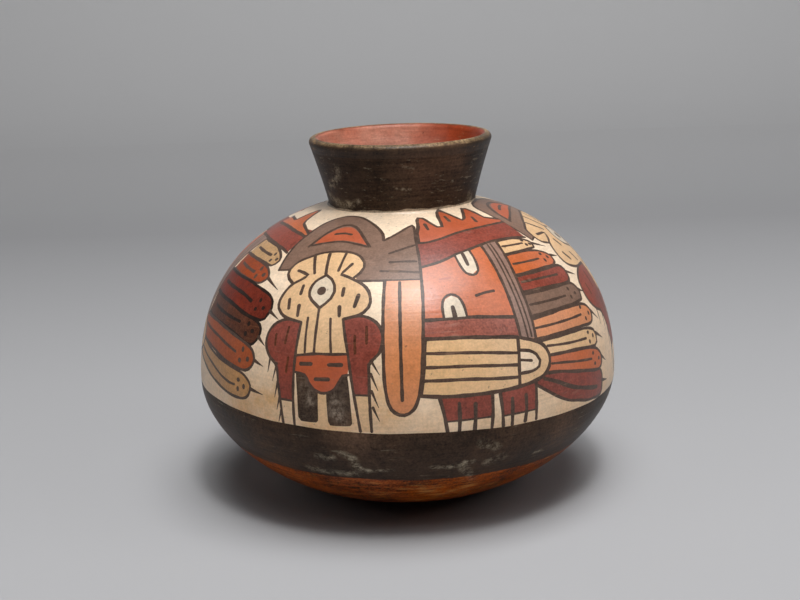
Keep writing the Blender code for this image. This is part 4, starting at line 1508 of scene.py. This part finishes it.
def lip_slip():
    """The lip: dark outside, rubbed through to the clay in specks along its crown, red inside, with a painted
    shade of darker red on the crown's inner edge.
    """
    material, tree, shader = new_material("slip_lip")
    place = place_on_jar(tree)
    wear_height = (RIM_HEIGHT - CROWN_WEAR_DEPTH) * MM
    crown = above_edge(tree, wear_height, 0.0, CROWN_WEAR_WAVER, CROWN_WEAR_BLUR)
    grains = spread(tree, noise(tree, place, 900.0, 6.0, 0.8), 0.38, 0.60)
    drift = spread(tree, noise(tree, place, 60.0, 3.0), 0.35, 0.6, 0.3, 1.0)
    rubbed = times(tree, crown, times(tree, grains, drift))

    level = vectors(tree, "MULTIPLY", place, (1.0, 1.0, 0.0))
    away = vectors(tree, "DISTANCE", level, (0.0, 0.0, 0.0))
    flare = (MOUTH_RADIUS - NECK_FOOT_RADIUS) / (RIM_HEIGHT - NECK_FOOT.y)
    below = plus(tree, times(tree, part_of(tree, place, 2), -flare), flare * RIM_HEIGHT * MM)
    uneven = times(tree, plus(tree, noise(tree, place, 160.0, 3.0), -0.5), LIP_WAVER)
    reach = plus(tree, plus(tree, away, below), uneven)
    dark_from, dark_to = ((MOUTH_RADIUS - inset) * MM for inset in DARK_SIDE_INSETS)
    outside = spread(tree, reach, dark_from, dark_to)
    # Painted shade: a darker red over the inner edge of the crown, where the top light would give a lighter
    # band
    crown_shade_from, crown_shade_to = ((MOUTH_RADIUS - inset) * MM for inset in CROWN_SHADE_RED_INSETS)
    crown_shade = spread(tree, reach, crown_shade_from, crown_shade_to, 0.0, 0.75)

    dark_side = blend_colour(tree, rubbed, thin_in_places(tree, NECK_BROWN), RUBBED_LIP)
    red_side = blend_colour(tree, crown_shade, rubbed_red(tree), CROWN_SHADE_RED)
    colour = blend_colour(tree, outside, red_side, dark_side)
    finish_with(tree, shader, colour, WORN_LIP, mottle=either(tree, outside, 0.12, 0.3),
                streaks=either(tree, outside, 0.2, 0.36), wear=0.38, roughness=0.42, shine=0.25)
    return material


def inside_red():
    """The red slip inside the neck."""
    material, tree, shader = new_material("slip_neck_inside")
    finish_with(tree, shader, rubbed_red(tree), WORN_RED, mottle=0.12, streaks=0.22, wear=0.4, roughness=0.42,
                shine=0.4)
    return material


SLIP_WEAR = {
    "light_orange": {"mottle": 0.11},
    "red_orange": {"mottle": 0.12},
    "rust": {"mottle": 0.16, "shine": 0.25},
    "ember": {"mottle": 0.18, "shine": 0.25},
    "dull_tan": {"mottle": 0.16, "wear": 0.3, "worn": srgb(206, 168, 124), "shine": 0.4},
    "tan": {"mottle": 0.16, "wear": 0.3, "worn": srgb(206, 168, 124)},
    # Painted sheen: the paler red under the panel, with its own wear
    "sheen_red": {"mottle": 0.26, "wear": 0.42, "worn": srgb(168, 116, 98), "shine": 0.5},
    "dark_red": {"mottle": 0.26, "wear": 0.38, "worn": srgb(148, 96, 80), "shine": 0.4},
    "deep_red": {"mottle": 0.3, "wear": 0.34, "worn": srgb(136, 66, 48), "shine": 0.25},
    "grey_mauve": {"mottle": 0.14, "wear": 0.3, "worn": srgb(164, 136, 118), "shine": 0.4},
    "mauve": {"mottle": 0.16, "wear": 0.34, "worn": srgb(152, 122, 104), "shine": 0.35},
    "umber": {"mottle": 0.34, "wear": 0.42, "worn": srgb(124, 80, 58), "shine": 0.2},
    "brown": {"mottle": 0.26, "wear": 0.4, "worn": srgb(128, 100, 80), "shine": 0.3},
    "black_brown": {"mottle": 0.2, "wear": 0.3, "worn": srgb(84, 58, 44), "shine": 0.2},
    "scuffed": {"mottle": 0.3, "wear": 0.5, "worn": srgb(84, 68, 54), "shine": 0.3},
}
smudged_slips = {
    "cream": stained_cream(),
    "leg_brown": scuffed_slip("slip_leg_brown", SLIPS["leg_brown"], LEG_FILM, LEG_SMEARS, streaks=0.1),
}
slip_materials = []
for slip_name, slip_colour in SLIPS.items():
    if slip_name in smudged_slips:
        slip_materials.append(smudged_slips[slip_name])
    else:
        wear = SLIP_WEAR.get(slip_name, {})
        slip_materials.append(slip_material("slip_" + slip_name, slip_colour, **wear))
band_material = scuffed_slip("slip_band", BAND_BROWN, BAND_FILM, BAND_SMEARS, streaks=0.2)
neck_material = scuffed_slip("slip_neck", NECK_BROWN, NECK_FILM, NECK_SMEARS, streaks=0.42)
inside_material = slip_material("bare_clay", BARE_CLAY, mottle=0.15, roughness=0.8, shine=0.3)
neck_red_material = inside_red()
belt_material = belt_of_two_slips()
lip_material = lip_slip()

# The jar's pieces
paint_frieze()
paint_materials = [*slip_materials, band_material, neck_material, inside_material]
low_joint = OUTSIDE.along_at_height(BASE_JOINT_HEIGHT)
inner_low_joint = INSIDE.along_at_height(BASE_JOINT_HEIGHT)
inner_high_joint = INSIDE.along_at_height(GIRTH_JOINT_HEIGHT)
wall_inside = INSIDE.section(INSIDE.along[-1], inner_high_joint, steps=40)
painted_edges = (PAINT_LOW, SEAM_LOW, SEAM_HIGH)
wall_foot, seam_toe, seam_top = (PAINTED.section(edge, edge, 1)[0] for edge in painted_edges)
neck_corner = tuple(NECK_FOOT)
neck_hole = (NECK_FOOT_RADIUS - NECK_WALL, SHOULDER_TOP)
wall_runs = [[seam_toe, neck_corner], [neck_corner, neck_hole], [neck_hole, wall_inside[0]], wall_inside,
             [wall_inside[-1], wall_foot]]
painted_wall = make_painted_piece(
    "painted_wall", PAINT_LOW, SEAM_LOW, GRID_RISE_STEP, wall_runs, paint_materials)
seam_runs = [[seam_top, neck_corner], [neck_corner, seam_toe]]
neck_seam = make_painted_piece(
    "neck_seam", SEAM_LOW, SEAM_HIGH, SEAM_RISE_STEP, seam_runs, paint_materials)

belt_outside = OUTSIDE.section(low_joint, PAINT_LOW, steps=64)
belt_inside = INSIDE.section(inner_high_joint, inner_low_joint, steps=16)
dark_belt = make_turned("dark_belt", belt_outside, belt_inside, belt_material, inside_material)

base_outside = [(0.0, 0.0), *OUTSIDE.section(OUTSIDE.along[0], low_joint, steps=96)]
base_inside = [*INSIDE.section(inner_low_joint, INSIDE.along[0], steps=24), (0.0, BASE_THICKNESS)]
ochre_base = make_turned("ochre_base", base_outside, base_inside, belt_material, inside_material)

lip_joint = RIM_HEIGHT - LIP_HEIGHT
neck_outside = between_heights(NECK_OUTSIDE, NECK_FOOT.y, lip_joint, steps=20)
neck_inside = between_heights(NECK_INSIDE, lip_joint, SHOULDER_TOP, steps=16)
neck_wall = make_turned("neck_wall", neck_outside, neck_inside, neck_material, neck_red_material)

outer_lean = lean_at_lip(NECK_OUTSIDE)
inner_lean = lean_at_lip(NECK_INSIDE)
crown_radius = LIP_WALL * math.cos(outer_lean) / 2
crown_height = RIM_HEIGHT - crown_radius
outer_end = crown_height - crown_radius * math.sin(outer_lean)
inner_start = crown_height + crown_radius * math.sin(inner_lean)
outer_side = between_heights(NECK_OUTSIDE, lip_joint, outer_end, steps=6)
inner_side = between_heights(NECK_INSIDE, inner_start, lip_joint, steps=6)
crown_middle = (outer_side[-1][0] + inner_side[0][0]) / 2
crown_half = (outer_side[-1][0] - inner_side[0][0]) / (math.cos(outer_lean) + math.cos(inner_lean))
crown = []
for step in range(1, CROWN_STEPS):
    turn = -outer_lean + (math.pi + outer_lean - inner_lean) * step / CROWN_STEPS
    crown.append((crown_middle + crown_half * math.cos(turn), crown_height + crown_radius * math.sin(turn)))
lip_roll = make_turned("lip_roll", outer_side + crown, inner_side, lip_material, lip_material)

stands_for = (
    (painted_wall, ("girth_wall", "shoulder_wall"), "painted_wall"),
    (dark_belt, ("lower_wall",), "dark_band"),
    (ochre_base, ("base_dish",), "ochre_base"),
    (neck_wall, ("neck_collar",), "dark_neck"),
    (lip_roll, ("rim_lip",), "worn_lip"),
    (neck_seam, ("neck_coil",), "dark_neck"),
)
for piece, nodes, slot in stands_for:
    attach(piece, "root")
    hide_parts(*nodes)

# Floor, light and camera
# Paper colours, with painted light: darker mid-way and paler at the back to make up for the lamps' falloff
FLOOR_GREY = srgb(168, 168, 170)
FLOOR_MIDDLE_SHADE = srgb(153, 153, 155)
FLOOR_BACK_LIGHT = srgb(245, 245, 246)
FLOOR_FAR = srgb(160, 160, 162)
MIDDLE_DEPTHS = (0.05, 0.6)
BACK_DEPTHS = (0.55, 1.9)
FAR_REACHES = (1.3, 2.6)


def studio_paper():
    """Grey paper, painted darker mid-way and paler at the back for the lamps' falloff. Out of the lamps'
    reach it shows a plain grey and lights nothing.
    """
    material, tree, shader = new_material("studio_paper")
    place = place_on_jar(tree)
    depth = part_of(tree, place, 1)
    darker = blend_colour(tree, spread(tree, depth, *MIDDLE_DEPTHS), FLOOR_GREY, FLOOR_MIDDLE_SHADE)
    paper = blend_colour(tree, spread(tree, depth, *BACK_DEPTHS), darker, FLOOR_BACK_LIGHT)
    link(tree, paper, shader.inputs["Base Color"])
    shader.inputs["Roughness"].default_value = 0.9
    shader.inputs["Specular IOR Level"].default_value = 0.1
    ray = tree.nodes.new("ShaderNodeLightPath").outputs
    seen = plus(tree, ray["Is Camera Ray"], plus(tree, ray["Is Glossy Ray"], ray["Is Transmission Ray"]))
    aside = calculate(tree, "ABSOLUTE", part_of(tree, place, 0))
    far = spread(tree, calculate(tree, "MAXIMUM", aside, times(tree, depth, -1.0)), *FAR_REACHES)
    shader.inputs["Emission Color"].default_value = FLOOR_FAR
    link(tree, times(tree, seen, far), shader.inputs["Emission Strength"])
    return material


FLOOR_REACH = 6.0
FLOOR_RIM = 1.2
SWEEP_START = 1.1
SWEEP_RADIUS = 0.9
SWEEP_STEPS = 16
BACKDROP_HEIGHT = 2.4
BACKDROP_REACH = 2.6


def make_sheet(name, rows, smooth, paper):
    """A sheet of paper through rows of points, round the jar and not part of it."""
    count = len(rows[0])
    mesh = bpy.data.meshes.new(name)
    corners = [row * count + column for row in range(len(rows) - 1) for column in range(count - 1)]
    mesh.from_pydata([point for row in rows for point in row], [],
                     [(corner, corner + 1, corner + count + 1, corner + count) for corner in corners])
    mesh.polygons.foreach_set("use_smooth", [smooth] * len(mesh.polygons))
    mesh.materials.append(paper)
    keep_piece(name, mesh)


def make_stage():
    """A wide floor that turns up far away, and behind the jar a backdrop that rises from it in one sweep."""
    paper = studio_paper()
    stops = (-FLOOR_REACH - FLOOR_RIM, -FLOOR_REACH, FLOOR_REACH, FLOOR_REACH + FLOOR_RIM)
    floor_rows = [[(x, y, max(abs(x), abs(y)) - FLOOR_REACH) for x in stops] for y in stops]
    make_sheet("floor", floor_rows, False, paper)
    sweep = []
    for step in range(SWEEP_STEPS + 1):
        turn = math.pi / 2 * step / SWEEP_STEPS
        sweep.append((SWEEP_START + SWEEP_RADIUS * math.sin(turn), SWEEP_RADIUS * (1 - math.cos(turn))))
    sweep.append((SWEEP_START + SWEEP_RADIUS, BACKDROP_HEIGHT))
    backdrop_rows = [[(x, y, z) for x in (-BACKDROP_REACH, BACKDROP_REACH)] for y, z in sweep]
    make_sheet("backdrop", backdrop_rows, True, paper)


# Softboxes: name, place, width, height and power
LIT_PLACE = Vector((0.0, 0.0, 0.06))
SOFTBOXES = (
    ("key_softbox", (0.15, -0.68, 1.46), 0.20, 0.28, 7.4),
    ("front_softbox", (0.12, -0.72, 1.5), 1.2, 0.8, 6.8),
    ("top_softbox", (0.16, -0.24, 1.5), 1.0, 0.8, 17.0),
    ("left_softbox", (-1.3, -0.6, 1.1), 0.7, 0.9, 1.5),
    ("right_softbox", (1.4, -0.4, 1.1), 0.7, 0.9, 3.6),
)
WORLD_STRENGTH = 0.008


def add_softbox(name, place, width, height, power):
    """A lamp behind a soft sheet that faces the jar."""
    lamp = bpy.data.lights.new(name, "AREA")
    lamp.shape = "RECTANGLE"
    lamp.size = width
    lamp.size_y = height
    lamp.energy = power
    box = bpy.data.objects.new(name, lamp)
    box.location = place
    box.rotation_euler = (LIT_PLACE - Vector(place)).to_track_quat("-Z", "Y").to_euler()
    bpy.context.scene.collection.objects.link(box)


make_stage()
for softbox in SOFTBOXES:
    add_softbox(*softbox)
world = bpy.data.worlds.new("studio")
world.use_nodes = True
world_light = world.node_tree.nodes["Background"].inputs
world_light["Color"].default_value = (1.0, 1.0, 1.0, 1.0)
world_light["Strength"].default_value = WORLD_STRENGTH
bpy.context.scene.world = world

LENS = 65.25
SENSOR_WIDTH = 36.0
CAMERA_PLACE = Vector((-0.004586, -0.562085, 0.21027))
CAMERA_PITCH = math.radians(90.0 - 13.657)
CAMERA_LEAN = math.radians(1.89)
camera_data = bpy.data.cameras.new("camera")
camera_data.lens = LENS
camera_data.sensor_width = SENSOR_WIDTH
camera = bpy.data.objects.new("camera", camera_data)
upright = Matrix.Translation(CAMERA_PLACE) @ Matrix.Rotation(CAMERA_PITCH, 4, "X")
camera.matrix_world = Matrix.Rotation(CAMERA_LEAN, 4, "Y") @ upright
bpy.context.scene.collection.objects.link(camera)
bpy.context.scene.camera = camera
bpy.context.scene.view_settings.view_transform = "Standard"
